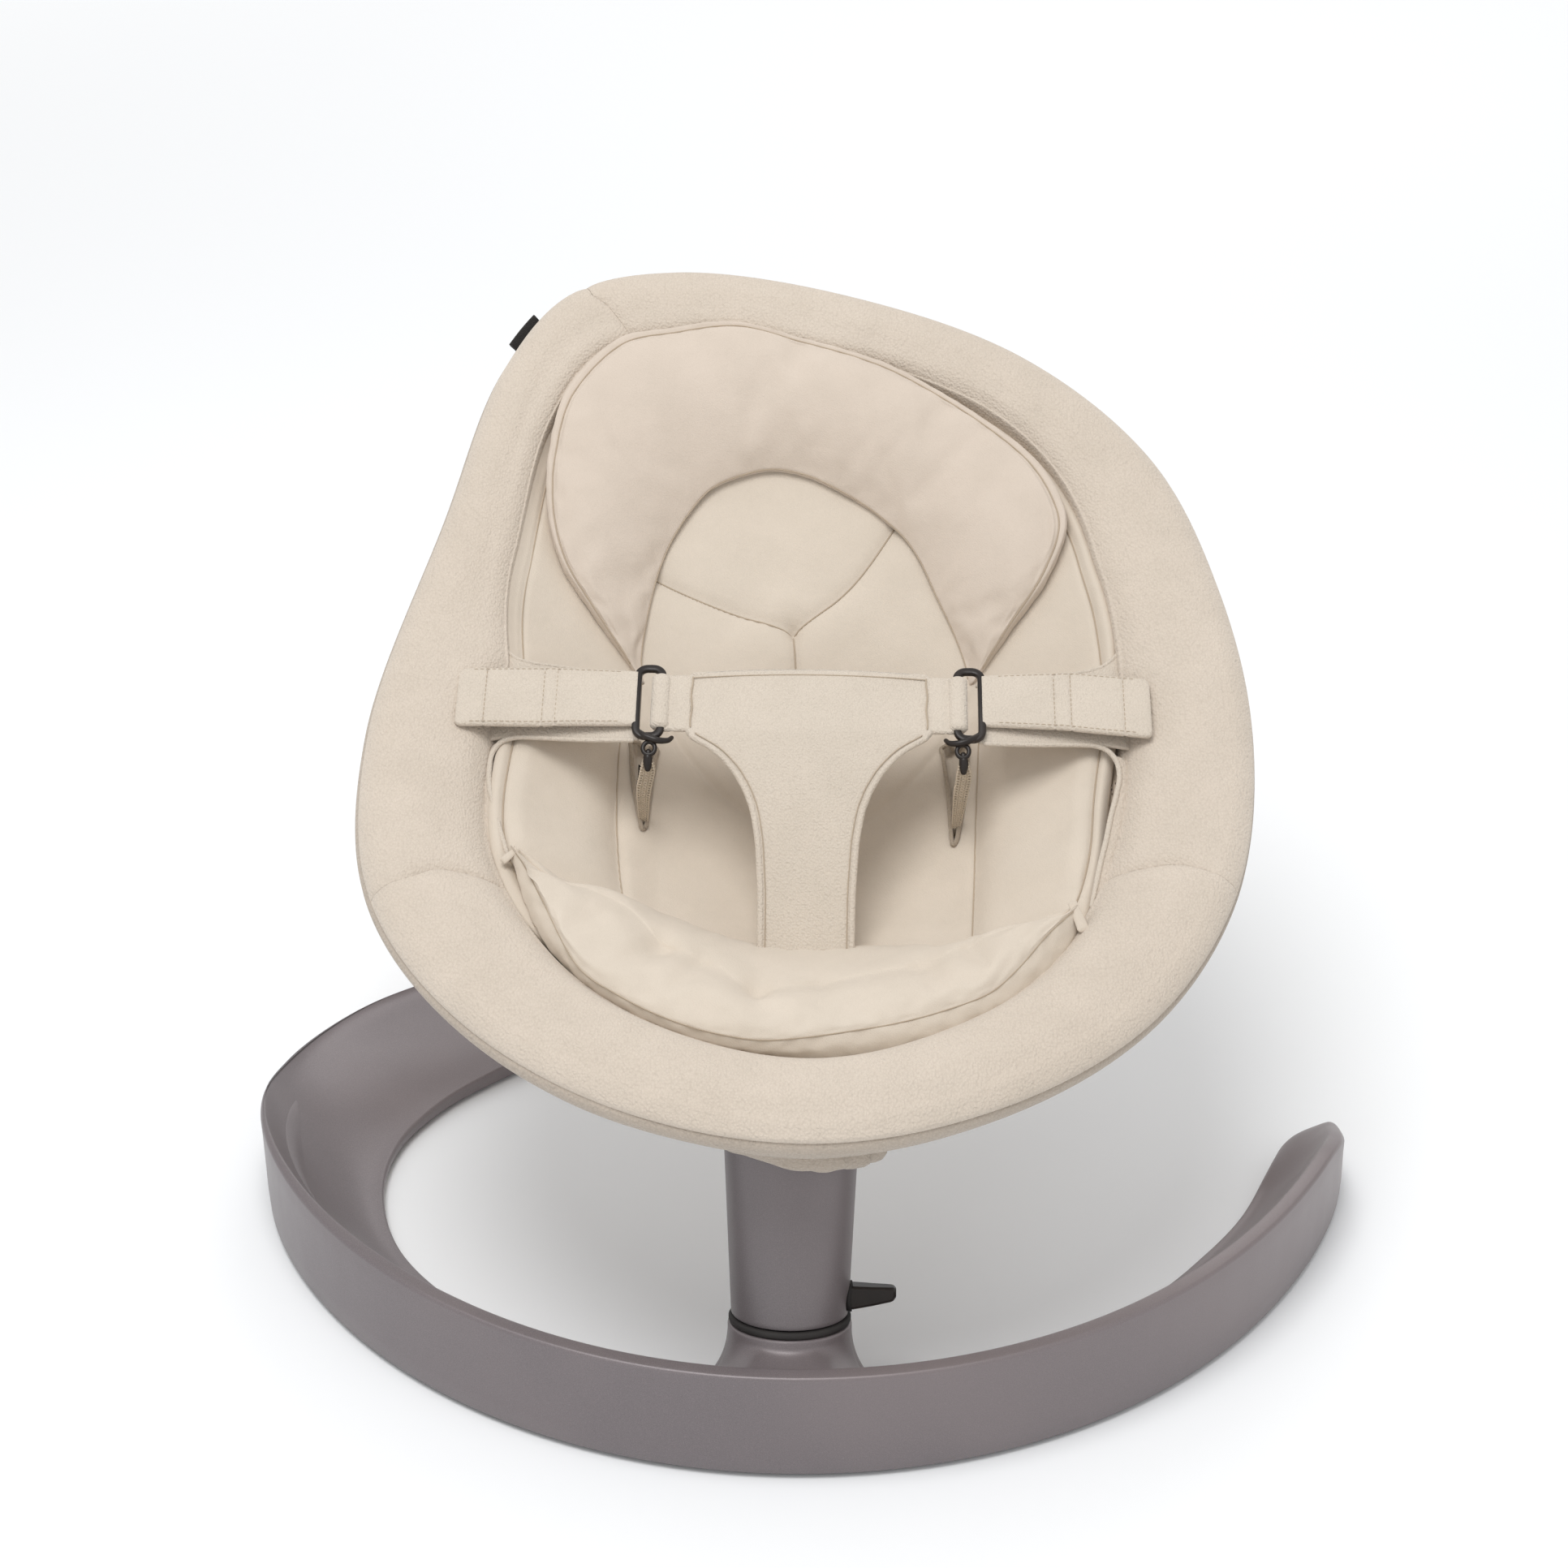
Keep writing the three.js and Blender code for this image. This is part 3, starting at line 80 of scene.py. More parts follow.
def on_post(p):
    """Post frame (across, back, up the axis) to the layout."""
    p = np.asarray(p, float)
    c, s = math.cos(POST_LEAN), math.sin(POST_LEAN)
    x, y, z = p[..., 0], p[..., 1], p[..., 2]
    return np.stack([x, y * c + z * s, -y * s + z * c], -1) + SWAY_FOOT


# ---------------------------------------------------------------- camera, floor and lights
LENS_MM, SENSOR_MM = 70.06, 36
EYE = [23.5, -1551.8, 1143.3]
AIM = [-9.0, 0.0, 231.6]
STUDIO_LIGHT, BACKDROP_LIGHT = 0.66, 1.1
WHITE = (1, 1, 1, 1)
scene = bpy.context.scene
camera_data = bpy.data.cameras.new("camera")
camera_data.lens = LENS_MM
camera_data.sensor_width = SENSOR_MM
camera = bpy.data.objects.new("camera", camera_data)
scene.collection.objects.link(camera)
eye, aim = Vector(to_row(EYE)), Vector(to_row(AIM))
camera.location = eye
camera.rotation_euler = (aim - eye).to_track_quat("-Z", "Y").to_euler()
scene.camera = camera
scene.view_settings.view_transform = "Standard"


def rgb(r, g, b):
    """Linear colour of an 8-bit sRGB colour."""
    return tuple(((x / 255 + 0.055) / 1.055) ** 2.4 for x in (r, g, b)) + (1.0,)


def area_light(name, at, towards, size, watts, colour=(1, 1, 1)):
    data = bpy.data.lights.new(name, "AREA")
    data.shape = "DISK"
    data.size = size
    data.energy = watts
    data.color = colour
    lamp = bpy.data.objects.new(name, data)
    lamp.location = at
    lamp.rotation_euler = (Vector(towards) - Vector(at)).to_track_quat("-Z", "Y").to_euler()
    scene.collection.objects.link(lamp)


world = bpy.data.worlds.new("studio")
world.use_nodes = True
world_nodes, world_links = world.node_tree.nodes, world.node_tree.links
# even light from all round, and a white backdrop where the camera sees it
studio_light, backdrop = world_nodes["Background"], world_nodes.new("ShaderNodeBackground")
for light, strength in ((studio_light, STUDIO_LIGHT), (backdrop, BACKDROP_LIGHT)):
    light.inputs["Color"].default_value = WHITE
    light.inputs["Strength"].default_value = strength
seen, chosen = world_nodes.new("ShaderNodeLightPath"), world_nodes.new("ShaderNodeMixShader")
world_links.new(seen.outputs["Is Camera Ray"], chosen.inputs["Fac"])
world_links.new(studio_light.outputs["Background"], chosen.inputs[1])
world_links.new(backdrop.outputs["Background"], chosen.inputs[2])
world_links.new(chosen.outputs["Shader"], world_nodes["World Output"].inputs["Surface"])
scene.world = world
# name, place, aim and width in metres, watts
area_light("key", (-0.4, -0.65, 2.7), (0, 0, 0.2), 1.5, 37.5, (1, 0.999, 0.996))
area_light("fill_left", (-0.9, -1.9, 0.9), (0.2, 0, 0.1), 1.0, 2)
area_light("fill_right", (1.9, -1.5, 1.5), (0, 0, 0.2), 1.6, 1.8)
area_light("back", (0.4, 2.2, 1.7), (0, 0, 0.3), 1.6, 9)


# ---------------------------------------------------------------- materials
class Shader:
    """Principled material with object coordinates, built a node at a time."""

    def __init__(self, name, roughness, **sockets):
        self.mat = bpy.data.materials.new(name)
        self.mat.use_nodes = True
        self.tree = self.mat.node_tree
        self.bsdf = self.tree.nodes["Principled BSDF"]
        self.bsdf.inputs["Roughness"].default_value = roughness
        for key, value in sockets.items():
            self.bsdf.inputs[key.replace("_", " ")].default_value = value
        self.place = self.tree.nodes.new("ShaderNodeTexCoord").outputs["Object"]

    def node(self, kind, links=(), **settings):
        made = self.tree.nodes.new(kind)
        for key, value in settings.items():
            if key in made.inputs:
                made.inputs[key].default_value = value
            else:
                setattr(made, key, value)
        for socket, source in links:
            self.tree.links.new(source, made.inputs[socket])
        return made

    def mapped(self, stretch=(1, 1, 1), turn=(0, 0, 0)):
        made = self.node("ShaderNodeMapping", [("Vector", self.place)])
        made.inputs["Scale"].default_value = stretch
        made.inputs["Rotation"].default_value = turn
        return made.outputs[0]

    def noise(self, scale, detail, place=None):
        made = self.node("ShaderNodeTexNoise", [("Vector", place or self.place)],
                         Scale=scale, Detail=detail, Roughness=0.55)
        return made.outputs["Fac"]

    def cells(self, scale, place=None, randomness=1.0):
        made = self.node("ShaderNodeTexVoronoi", [("Vector", place or self.place)],
                         Scale=scale, Randomness=randomness)
        return made.outputs["Distance"]

    def bands(self, scale, place, direction, distortion):
        made = self.node("ShaderNodeTexWave", [("Vector", place)], Scale=scale, Distortion=distortion,
                         bands_direction=direction, Detail=1.0)
        made.inputs["Detail Scale"].default_value = 2.0
        return made.outputs["Fac"]

    def maths(self, operation, a, b):
        made = self.node("ShaderNodeMath", operation=operation)
        for k, value in enumerate((a, b)):
            if isinstance(value, (int, float)):
                made.inputs[k].default_value = value
            else:
                self.tree.links.new(value, made.inputs[k])
        return made.outputs[0]

    def ramp(self, fac, *stops):
        made = self.node("ShaderNodeValToRGB", [("Fac", fac)])
        points = made.color_ramp.elements
        while len(points) < len(stops):
            points.new(0.5)
        for point, (at, colour) in zip(points, stops):
            point.position = at
            point.color = colour
        return made.outputs["Color"]

    def blend(self, fac, a, b, how="MIX"):
        made = self.node("ShaderNodeMix", data_type="RGBA", blend_type=how)
        for socket, value in ((made.inputs[0], fac), (made.inputs[6], a), (made.inputs[7], b)):
            if isinstance(value, (int, float, tuple)):
                socket.default_value = value
            else:
                self.tree.links.new(value, socket)
        return made.outputs[2]

    def colour(self, source):
        self.tree.links.new(source, self.bsdf.inputs["Base Color"])

    def rough(self, fac, low, high):
        made = self.node("ShaderNodeMapRange", [("Value", fac)])
        made.inputs["To Min"].default_value = low
        made.inputs["To Max"].default_value = high
        self.tree.links.new(made.outputs[0], self.bsdf.inputs["Roughness"])

    def bump(self, height, distance, strength, under=None):
        made = self.node("ShaderNodeBump", [("Height", height)], Distance=distance, Strength=strength)
        if under:
            self.tree.links.new(under, made.inputs["Normal"])
        self.tree.links.new(made.outputs[0], self.bsdf.inputs["Normal"])
        return made.outputs[0]


def grey(level):
    return level, level, level, 1


TILT = (-SEAT_TILT, 0, 0)


def knit(name, colour, shade, cell, depth, pile=0.5, sheen=0.35):
    """Brushed knit: looped pile of the given cell size in metres, with soft patches in the nap. The shade colour is
    painted shade in the hollows between the loops, mixed with the fibres' own mottle.
    """
    s = Shader(name, 0.95, Sheen_Weight=sheen, Sheen_Roughness=0.55, Specular_IOR_Level=0.12)
    s.bsdf.inputs["Sheen Tint"].default_value = (1, 0.96, 0.9, 1)
    plane = s.mapped(turn=TILT)
    loops = s.cells(1 / cell, s.mapped((1, 0.72, 1), TILT), 0.85)
    fibres = s.noise(2.3 / cell, 3.0)
    ribs = s.bands(0.16 / cell, plane, "DIAGONAL", 6.0)
    nap = s.noise(38, 3.0)
    patches = s.noise(7, 2.0)
    height = s.maths("ADD", s.maths("MULTIPLY", loops, -1.0), s.maths("MULTIPLY", fibres, pile))
    height = s.maths("ADD", height, s.maths("MULTIPLY", ribs, 0.25))
    # darker where the loop cells sink: painted shade in the pile's hollows, plus the fibres' own mottle
    tone = s.maths("ADD", s.maths("MULTIPLY", loops, 0.55), s.maths("MULTIPLY", fibres, 0.45))
    base = s.blend(s.maths("MULTIPLY", tone, 0.62), colour, shade)
    soft = s.ramp(nap, (0.3, (0.965, 0.965, 0.96, 1)), (0.7, grey(1.02)))
    broad = s.ramp(patches, (0.35, (0.985, 0.98, 0.975, 1)), (0.65, grey(1.01)))
    s.colour(s.blend(1.0, s.blend(1.0, base, soft, "MULTIPLY"), broad, "MULTIPLY"))
    wide = s.bump(s.noise(130, 2.0), 0.0006, 0.5)
    s.bump(height, depth, 0.8, wide)
    return s.mat


def metal_paint(name, colour, dark, warm):
    """Satin metallic paint with fine flake and a faint warm drift."""
    s = Shader(name, 0.4, Metallic=0.22, Coat_Weight=0.18, Coat_Roughness=0.3)
    flake = s.cells(2600)
    grain = s.noise(1700, 2.0)
    drift = s.noise(5, 2.0)
    scuff = s.noise(60, 4.0, s.mapped((1, 1, 0.35)))
    sparkle = s.blend(s.maths("MULTIPLY", s.maths("ADD", flake, grain), 0.5), dark, colour)
    s.colour(s.blend(s.ramp(drift, (0.4, grey(0)), (0.66, grey(0.55))), sparkle, warm))
    s.rough(scuff, 0.36, 0.47)
    s.bump(s.maths("ADD", flake, grain), 0.00006, 0.35)
    return s.mat


def moulded(name, colour, light, roughness, grain=900.0, depth=0.00004, **sockets):
    """Moulded plastic or rubber: fine spark-eroded grain and slightly worn high spots."""
    s = Shader(name, roughness, **sockets)
    fine = s.noise(grain, 3.0)
    wear = s.noise(45, 4.0)
    s.colour(s.blend(s.ramp(wear, (0.45, grey(0)), (0.75, grey(0.7))), colour, light))
    s.rough(wear, roughness - 0.06, roughness + 0.08)
    s.bump(fine, depth, 0.6)
    return s.mat


def bare_metal(name, colour, dark, roughness, brushed=(1, 1, 14)):
    """Drawn or turned metal: brushed lines along one way and darker smudges."""
    s = Shader(name, roughness, Metallic=1.0)
    lines = s.noise(420, 3.0, s.mapped(brushed))
    smudge = s.noise(30, 3.0)
    s.colour(s.blend(s.ramp(smudge, (0.4, grey(0)), (0.8, grey(0.8))), colour, dark))
    s.rough(lines, roughness - 0.08, roughness + 0.12)
    s.bump(lines, 0.00003, 0.5)
    return s.mat


def netting(name, colour, hole, pitch):
    """Spacer mesh: staggered oval holes in a knitted net; the hole colour is painted shade of the depth seen through
    the openings.
    """
    s = Shader(name, 0.9, Sheen_Weight=0.2, Specular_IOR_Level=0.15)
    net = s.cells(1 / pitch, s.mapped((1, 0.6, 1), TILT), 0.25)
    s.colour(s.ramp(net, (0.16, hole), (0.34, colour), (1.0, colour)))
    s.bump(net, 0.0009, 0.9)
    return s.mat


RIM_KNIT = knit("rim_terry_knit", rgb(216, 204, 190), rgb(180, 167, 153), 0.0014, 0.0007)
# darker copy of the rim's terry for the cover underneath: partly the cover's own duller colour, partly painted shade
# of the underside
UNDER_KNIT = knit("under_terry_knit", rgb(194, 182, 169), rgb(150, 138, 125), 0.0015, 0.0007)
JERSEY = knit("insert_jersey", rgb(213, 202, 188), rgb(199, 187, 172), 0.00055, 0.00012, 0.4, 0.28)
PILLOW_KNIT = knit("pillow_jersey", rgb(210, 197, 184), rgb(195, 182, 168), 0.0006, 0.00012, 0.4, 0.28)
HARNESS_KNIT = knit("harness_twill", rgb(217, 206, 192), rgb(182, 170, 156), 0.0011, 0.0006)
TETHER_KNIT = knit("tether_braid", rgb(218, 204, 184), rgb(150, 132, 111), 0.0012, 0.0006)
# darker tubes laid along the seams: the thread's own tone plus painted shade of the sewn grooves
SEAM_SHADE_THREAD = knit("seam_thread_and_shade", rgb(186, 170, 150), rgb(152, 136, 117), 0.0006, 0.0001)
SLIT_BINDING = knit("slit_binding", rgb(176, 162, 145), rgb(130, 117, 103), 0.0009, 0.0004)
# near-black cloth for the floor of the tether slits: painted shade of the openings
SLIT_SHADE = knit("slit_painted_shade", rgb(62, 55, 49), rgb(34, 30, 27), 0.0009, 0.0004, 0.5, 0.1)
# darker hole colour: painted shade in the net's openings
SLING_NET = netting("sling_net", rgb(196, 182, 165), rgb(112, 100, 88), 0.0022)
BASE_PAINT = metal_paint("base_paint_taupe", rgb(138, 129, 131), rgb(88, 82, 84), rgb(135, 124, 124))
POST_PAINT = metal_paint("post_paint_taupe", rgb(129, 122, 124), rgb(82, 78, 79), rgb(130, 119, 119))
DARK_NYLON = moulded("dark_nylon", rgb(34, 28, 25), rgb(50, 42, 38), 0.34, Specular_IOR_Level=0.35)
BEARING_NYLON = moulded("bearing_nylon", rgb(58, 55, 52), rgb(84, 80, 76), 0.5)
RUBBER = moulded("soft_rubber", rgb(36, 33, 32), rgb(52, 49, 47), 0.72, 600.0, 0.00008)
STEEL = bare_metal("plain_steel", rgb(168, 170, 173), rgb(118, 118, 120), 0.34)
ALLOY = bare_metal("drawn_alloy", rgb(190, 191, 193), rgb(140, 140, 142), 0.4, (14, 1, 1))
WEBBING = knit("black_webbing", rgb(30, 27, 26), rgb(14, 13, 13), 0.0008, 0.0003, 0.5, 0.12)


# ---------------------------------------------------------------- mesh helpers
WELD = 1e-6


def full_turn(count):
    """Angles at equal steps round a circle."""
    return np.linspace(0, 2 * math.pi, count, endpoint=False)


def run_along(path):
    """Distance of each point of a path from its start."""
    return np.concatenate([[0], np.cumsum(np.linalg.norm(np.diff(path, axis=0), axis=1))])


def sampled(path, run, at):
    """Points of a path at some distances from its start."""
    return np.stack([np.interp(at, run, path[:, k]) for k in range(path.shape[1])], -1)


def piece(name, points, faces, material, body, slot_name, flat=False):
    """One visible piece from layout points in millimetres."""
    mesh = bpy.data.meshes.new(name)
    mesh.from_pydata(to_row(np.asarray(points).reshape(-1, 3)).tolist(), [], faces)
    shape = bmesh.new()
    shape.from_mesh(mesh)
    bmesh.ops.remove_doubles(shape, verts=shape.verts, dist=WELD)
    bmesh.ops.recalc_face_normals(shape, faces=shape.faces)
    shape.to_mesh(mesh)
    shape.free()
    mesh.materials.append(material)
    mesh.polygons.foreach_set("use_smooth", [not flat] * len(mesh.polygons))
    made = bpy.data.objects.new(name, mesh)
    scene.collection.objects.link(made)
    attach(made, body)
    return made


def grid_faces(rows, columns, round_rows=False, round_columns=False, start=0):
    faces = []
    for i in range(rows if round_rows else rows - 1):
        a, b = start + i * columns, start + (i + 1) % rows * columns
        for j in range(columns if round_columns else columns - 1):
            k = (j + 1) % columns
            faces.append((a + j, a + k, b + k, b + j))
    return faces


def loft(rows, looped=False):
    """Closed skin over rows of closed sections, capped at both ends unless it is looped."""
    rows = np.asarray(rows, float)
    n, m = rows.shape[:2]
    faces = grid_faces(n, m, looped, True)
    points = rows.reshape(-1, 3)
    if not looped:
        for row in (0, n - 1):
            points = np.vstack([points, rows[row].mean(0)])
            hub = len(points) - 1
            faces += [(hub, row * m + j, row * m + (j + 1) % m) for j in range(m)]
    return points, faces


def bowl(upper, lower):
    """Closed body between two fans of closed rings that both start at the same rim."""
    upper, lower = np.asarray(upper), np.asarray(lower)
    n = upper.shape[1]
    points = np.vstack([upper.reshape(-1, 3), lower.reshape(-1, 3), upper[-1].mean(0), lower[-1].mean(0)])
    second = upper.shape[0] * n
    faces = grid_faces(upper.shape[0], n, round_columns=True)
    faces += grid_faces(lower.shape[0], n, round_columns=True, start=second)
    faces += [(j, (j + 1) % n, second + (j + 1) % n, second + j) for j in range(n)]
    hub = len(points) - 2
    for start, centre in (((upper.shape[0] - 1) * n, hub), (second + (lower.shape[0] - 1) * n, hub + 1)):
        faces += [(centre, start + j, start + (j + 1) % n) for j in range(n)]
    return points, faces


def path_frames(path, closed=False):
    path = np.asarray(path, float)
    if closed:
        along = np.roll(path, -1, 0) - np.roll(path, 1, 0)
    else:
        along = np.gradient(path, axis=0)
    along /= np.linalg.norm(along, axis=1, keepdims=True)
    side = np.cross(along[0], [0.31, 0.42, 0.85])
    sides = []
    for t in along:
        side = side - t * side.dot(t)
        side = side / np.linalg.norm(side)
        sides.append(side)
    sides = np.array(sides)
    if closed:
        ups = np.cross(along, sides)
        turn = math.atan2(sides[-1].dot(ups[0]), sides[-1].dot(sides[0]))
        angle = -turn * np.arange(len(path)) / (len(path) - 1)
        sides = sides * np.cos(angle)[:, None] + ups * np.sin(angle)[:, None]
    return along, sides, np.cross(along, sides)


def tube(path, radius, sides=10, closed=False):
    """Round bar along a path, with domed ends where it is open; radius may vary along it."""
    path = np.asarray(path, float)
    _, e1, e2 = path_frames(path, closed)
    r = np.broadcast_to(np.asarray(radius, float), (len(path),))
    a = full_turn(sides)[:, None]
    rows = path[:, None] + r[:, None, None] * (e1[:, None] * np.cos(a) + e2[:, None] * np.sin(a))
    if not closed:
        along = path_frames(path)[0]
        for k, end, way in ((0, path[0], -along[0]), (-1, path[-1], along[-1])):
            ring = rows[k]
            cap = [end + (ring - end) * math.cos(t) + way * abs(r[k]) * math.sin(t) for t in (0.5, 1.0, 1.4)]
            rows = np.vstack([np.array(cap[::-1]), rows]) if k == 0 else np.vstack([rows, np.array(cap)])
    return loft(rows, closed)


def merged(shapes):
    """Several (points, faces) as one."""
    points, faces, start = [], [], 0
    for p, f in shapes:
        points.append(np.asarray(p).reshape(-1, 3))
        faces += [tuple(start + k for k in face) for face in f]
        start += len(points[-1])
    return np.vstack(points), faces


def stitches(path, long, gap, radius):
    """Sewing stitches along a path: short thick threads that dip at both ends."""
    path = np.asarray(path, float)
    run = run_along(path)
    shapes = []
    for at in np.arange(gap, run[-1] - long, long + gap):
        thread = sampled(path, run, np.linspace(at, at + long, 5))
        shapes.append(tube(thread, radius * np.array([0.5, 0.95, 1, 0.95, 0.5]), 6))
    return merged(shapes)


def coordinates(mesh):
    flat = np.empty(len(mesh.vertices) * 3)
    mesh.vertices.foreach_get("co", flat)
    return flat.reshape(-1, 3)


SWELL_FRAMES = 20
SEWN_REACH = 0.0007


def swell(made, sewn, pressure, slack, cap):
    """Blows a stuffed piece up as cloth, held at its sewn lines, then subdivides it once.

    sewn are the points of the lines in metres, slack the share of spare cloth, and no point of the piece
    moves further than cap, in metres."""
    tree = KDTree(len(sewn))
    for index, point in enumerate(sewn):
        tree.insert(point, index)
    tree.balance()
    before = coordinates(made.data)
    held = [i for i, co in enumerate(before) if tree.find(co)[2] < SEWN_REACH]
    group = made.vertex_groups.new(name="sewn")
    group.add(held, 1.0, "REPLACE")
    cloth = made.modifiers.new("cloth", "CLOTH")
    cloth.point_cache.frame_start, cloth.point_cache.frame_end = 1, SWELL_FRAMES
    rules = cloth.settings
    rules.quality = 5
    rules.vertex_group_mass = "sewn"
    rules.use_pressure = True
    rules.uniform_pressure_force = pressure
    rules.shrink_min = -slack
    rules.effector_weights.gravity = 0
    cloth.collision_settings.use_collision = False
    for step in range(1, SWELL_FRAMES + 1):
        scene.frame_set(step)
    blown = made.evaluated_get(bpy.context.evaluated_depsgraph_get())
    move = coordinates(blown.data) - before
    move *= np.minimum(1, cap / np.maximum(np.linalg.norm(move, axis=1), 1e-9))[:, None]
    made.modifiers.remove(cloth)
    made.vertex_groups.remove(group)
    made.data.vertices.foreach_set("co", (before + move).ravel())
    made.data.update()
    scene.frame_set(1)
    finer = made.modifiers.new("finer", "SUBSURF")
    finer.levels = finer.render_levels = 1
    coarse = made.data
    made.data = bpy.data.meshes.new_from_object(made.evaluated_get(bpy.context.evaluated_depsgraph_get()))
    made.modifiers.remove(finer)
    bpy.data.meshes.remove(coarse)


def revolve(profile, sides=144, shape=None):
    """Body of revolution round the post's axis from (radius, height) pairs that start and end on it."""
    a = full_turn(sides)
    rows = np.array([np.stack([r * np.cos(a), r * np.sin(a), np.full(sides, s)], -1) for r, s in profile])
    if shape is not None:
        rows = shape(rows)
    return on_post(rows)


# ---------------------------------------------------------------- shared shapes of the seat
def smooth(x):
    t = np.clip(x, 0.0, 1.0)
    return t * t * (3 - 2 * t)


def mix(a, b, t):
    return a + (b - a) * t


def bump(x, middle, half):
    """1 at the middle and 0 beyond half to either side, rounded."""
    return smooth(1 - np.abs(x - middle) / half)


def spline(points, count, closed=False):
    """Smooth curve through the points, as count points at equal steps along it."""
    p = np.array(points, float)
    n = len(p)
    spans = n if closed else n - 1
    out = []
    for i in range(spans):
        if closed:
            a, b, c, d = (p[(i + k) % n] for k in (-1, 0, 1, 2))
        else:
            b, c = p[i], p[i + 1]
            a = p[i - 1] if i else 2 * b - c
            d = p[i + 2] if i + 2 < n else 2 * c - b
        d0, d1, d2 = (max(np.linalg.norm(y - x), 1e-6) ** 0.5 for x, y in ((a, b), (b, c), (c, d)))
        t1 = ((b - a) / d0 - (c - a) / (d0 + d1) + (c - b) / d1) * d1
        t2 = ((c - b) / d1 - (d - b) / (d1 + d2) + (d - c) / d2) * d1
        t = np.linspace(0, 1, 64, endpoint=False)[:, None]
        out.append(b + t1 * t + (3 * (c - b) - 2 * t1 - t2) * t * t + (2 * (b - c) + t1 + t2) * t ** 3)
    dense = np.vstack(out + [p[:1] if closed else p[-1:]])
    run = run_along(dense)
    return sampled(dense, run, np.linspace(0, run[-1], count, endpoint=not closed))


def evened(values):
    """Values along a line, each averaged with two neighbours to either side."""
    return np.convolve(np.pad(values, 2, "edge"), np.ones(5) / 5, "valid")


def across_at(path, v):
    """Where a path that runs down the seat crosses the height v."""
    return np.interp(v, path[::-1, 1], path[::-1, 0])


SEAT_LEN = 626.0
SEAT_SAG = 31.5
BOWL_CENTRE = np.array([0.0, 300.0])
EDGE_R = 14.0
BOWL_DEPTH = 72.0
SLING_DROP = 12.8
RIM_POINTS = [
    (6, 3), (100, 29), (180, 86), (233, 174), (251, 285), (239, 390), (203, 486), (128, 559),
    (20, 603), (-88, 619), (-152, 603), (-190, 549), (-217, 443), (-250, 285), (-238, 170),
    (-180, 84), (-94, 26),
]
RIM_COUNT = 720
RIM = spline(RIM_POINTS, RIM_COUNT, closed=True)


def rim_line(v):
    return -SEAT_SAG * 4 * (v / SEAT_LEN) * (1 - v / SEAT_LEN)


def band_width(u, v):
    right = mix(65, 45, smooth((v - 440) / 130))
    low = mix(61, 73, smooth(v / 160))
    return mix(low, mix(45, right, smooth((u + 40) / 120)), smooth((v - 290) / 150))


def rim_point(i, inward, up):
    """Points of the rim at whole stations i; inward is millimetres, or a share of the band's width."""
    p = RIM[np.asarray(i) % RIM_COUNT]
    way = BOWL_CENTRE - p
    way = way / np.linalg.norm(way, axis=-1, keepdims=True)
    width = band_width(p[..., 0], p[..., 1])
    q = p + way * np.asarray(inward(width))[..., None]
    return np.stack([q[..., 0], q[..., 1], rim_line(p[..., 1]) + up], -1)


INNER = rim_point(np.arange(RIM_COUNT), lambda b: b, 0)
inner_angle = np.arctan2(INNER[:, 1] - BOWL_CENTRE[1], INNER[:, 0] - BOWL_CENTRE[0])
inner_order = np.argsort(inner_angle)
INNER_A = inner_angle[inner_order]
INNER_R = np.hypot(*(INNER[inner_order, :2] - BOWL_CENTRE).T)


def bowl_share(u, v):
    """Share of the way from the bowl's middle to its edge."""
    x, y = u - BOWL_CENTRE[0], v - BOWL_CENTRE[1]
    return np.hypot(x, y) / np.interp(np.arctan2(y, x), INNER_A, INNER_R, period=2 * math.pi)


def sling_top(u, v):
    share = np.minimum(1, bowl_share(u, v))
    depth = BOWL_DEPTH * (1 - 0.38 * smooth((v - 230) / 260))
    return rim_line(v) - SLING_DROP - depth * np.power(1 - np.power(share, 2.2), 0.85)


# ---------------------------------------------------------------- base casting
BASE_LIP = 9.0
PAD_H = 2.5
CAST_WALL = 4.0
# clockwise from the right tip: [angle, outer radius, wall height, inner radius, inner edge height]
BASE_STATIONS = np.array([
    [8.1, 324, 12, 316, 10], [8.95, 329, 24, 309, 15], [10.2, 333, 31.5, 303, 18], [12, 337, 40.5, 298.5, 19],
    [14, 338.5, 46.5, 296.5, 18], [18, 339.5, 57, 293.5, 14.5], [24, 339, 67, 290, 10], [35, 338, 70, 283, 8],
    [62, 338, 70, 277, 8], [90, 338, 70, 274, 8],
    [118, 338, 70, 277, 8], [143, 338, 70, 280, 8], [156, 336, 69, 269, 9], [166, 329, 60, 250, 10],
    [175, 316, 46, 222, 11], [184, 301, 35, 191, 12], [193, 284, 27, 166, 13], [204, 257, 22, 146, 14],
    [220, 228, 21, 126, 14], [240, 205, 20, 112, 13], [262, 194, 19, 108, 12], [284, 190, 18, 116, 11],
    [298, 184, 16, 130, 10],
])
# angles between which the casting is hollow underneath
HOLLOW = (31, 292)


def base_at(angle):
    """Outer radius, wall height, inner radius and edge height, eased between the stations."""
    s = BASE_STATIONS
    i = int(np.clip(np.searchsorted(s[:, 0], angle, "right") - 1, 0, len(s) - 2))
    p0, p1, p2, p3 = (s[min(len(s) - 1, max(0, k))] for k in (i - 1, i, i + 1, i + 2))
    span = p2[0] - p1[0]
    t = min(1.0, max(0.0, (angle - p1[0]) / span))
    m1 = (p2 - p0) / max(1, p2[0] - p0[0]) * span
    m2 = (p3 - p1) / max(1, p3[0] - p1[0]) * span
    value = ((2 * t ** 3 - 3 * t * t + 1) * p1 + (t ** 3 - 2 * t * t + t) * m1
             + (3 * t * t - 2 * t ** 3) * p2 + (t ** 3 - t * t) * m2)
    return value[1:]


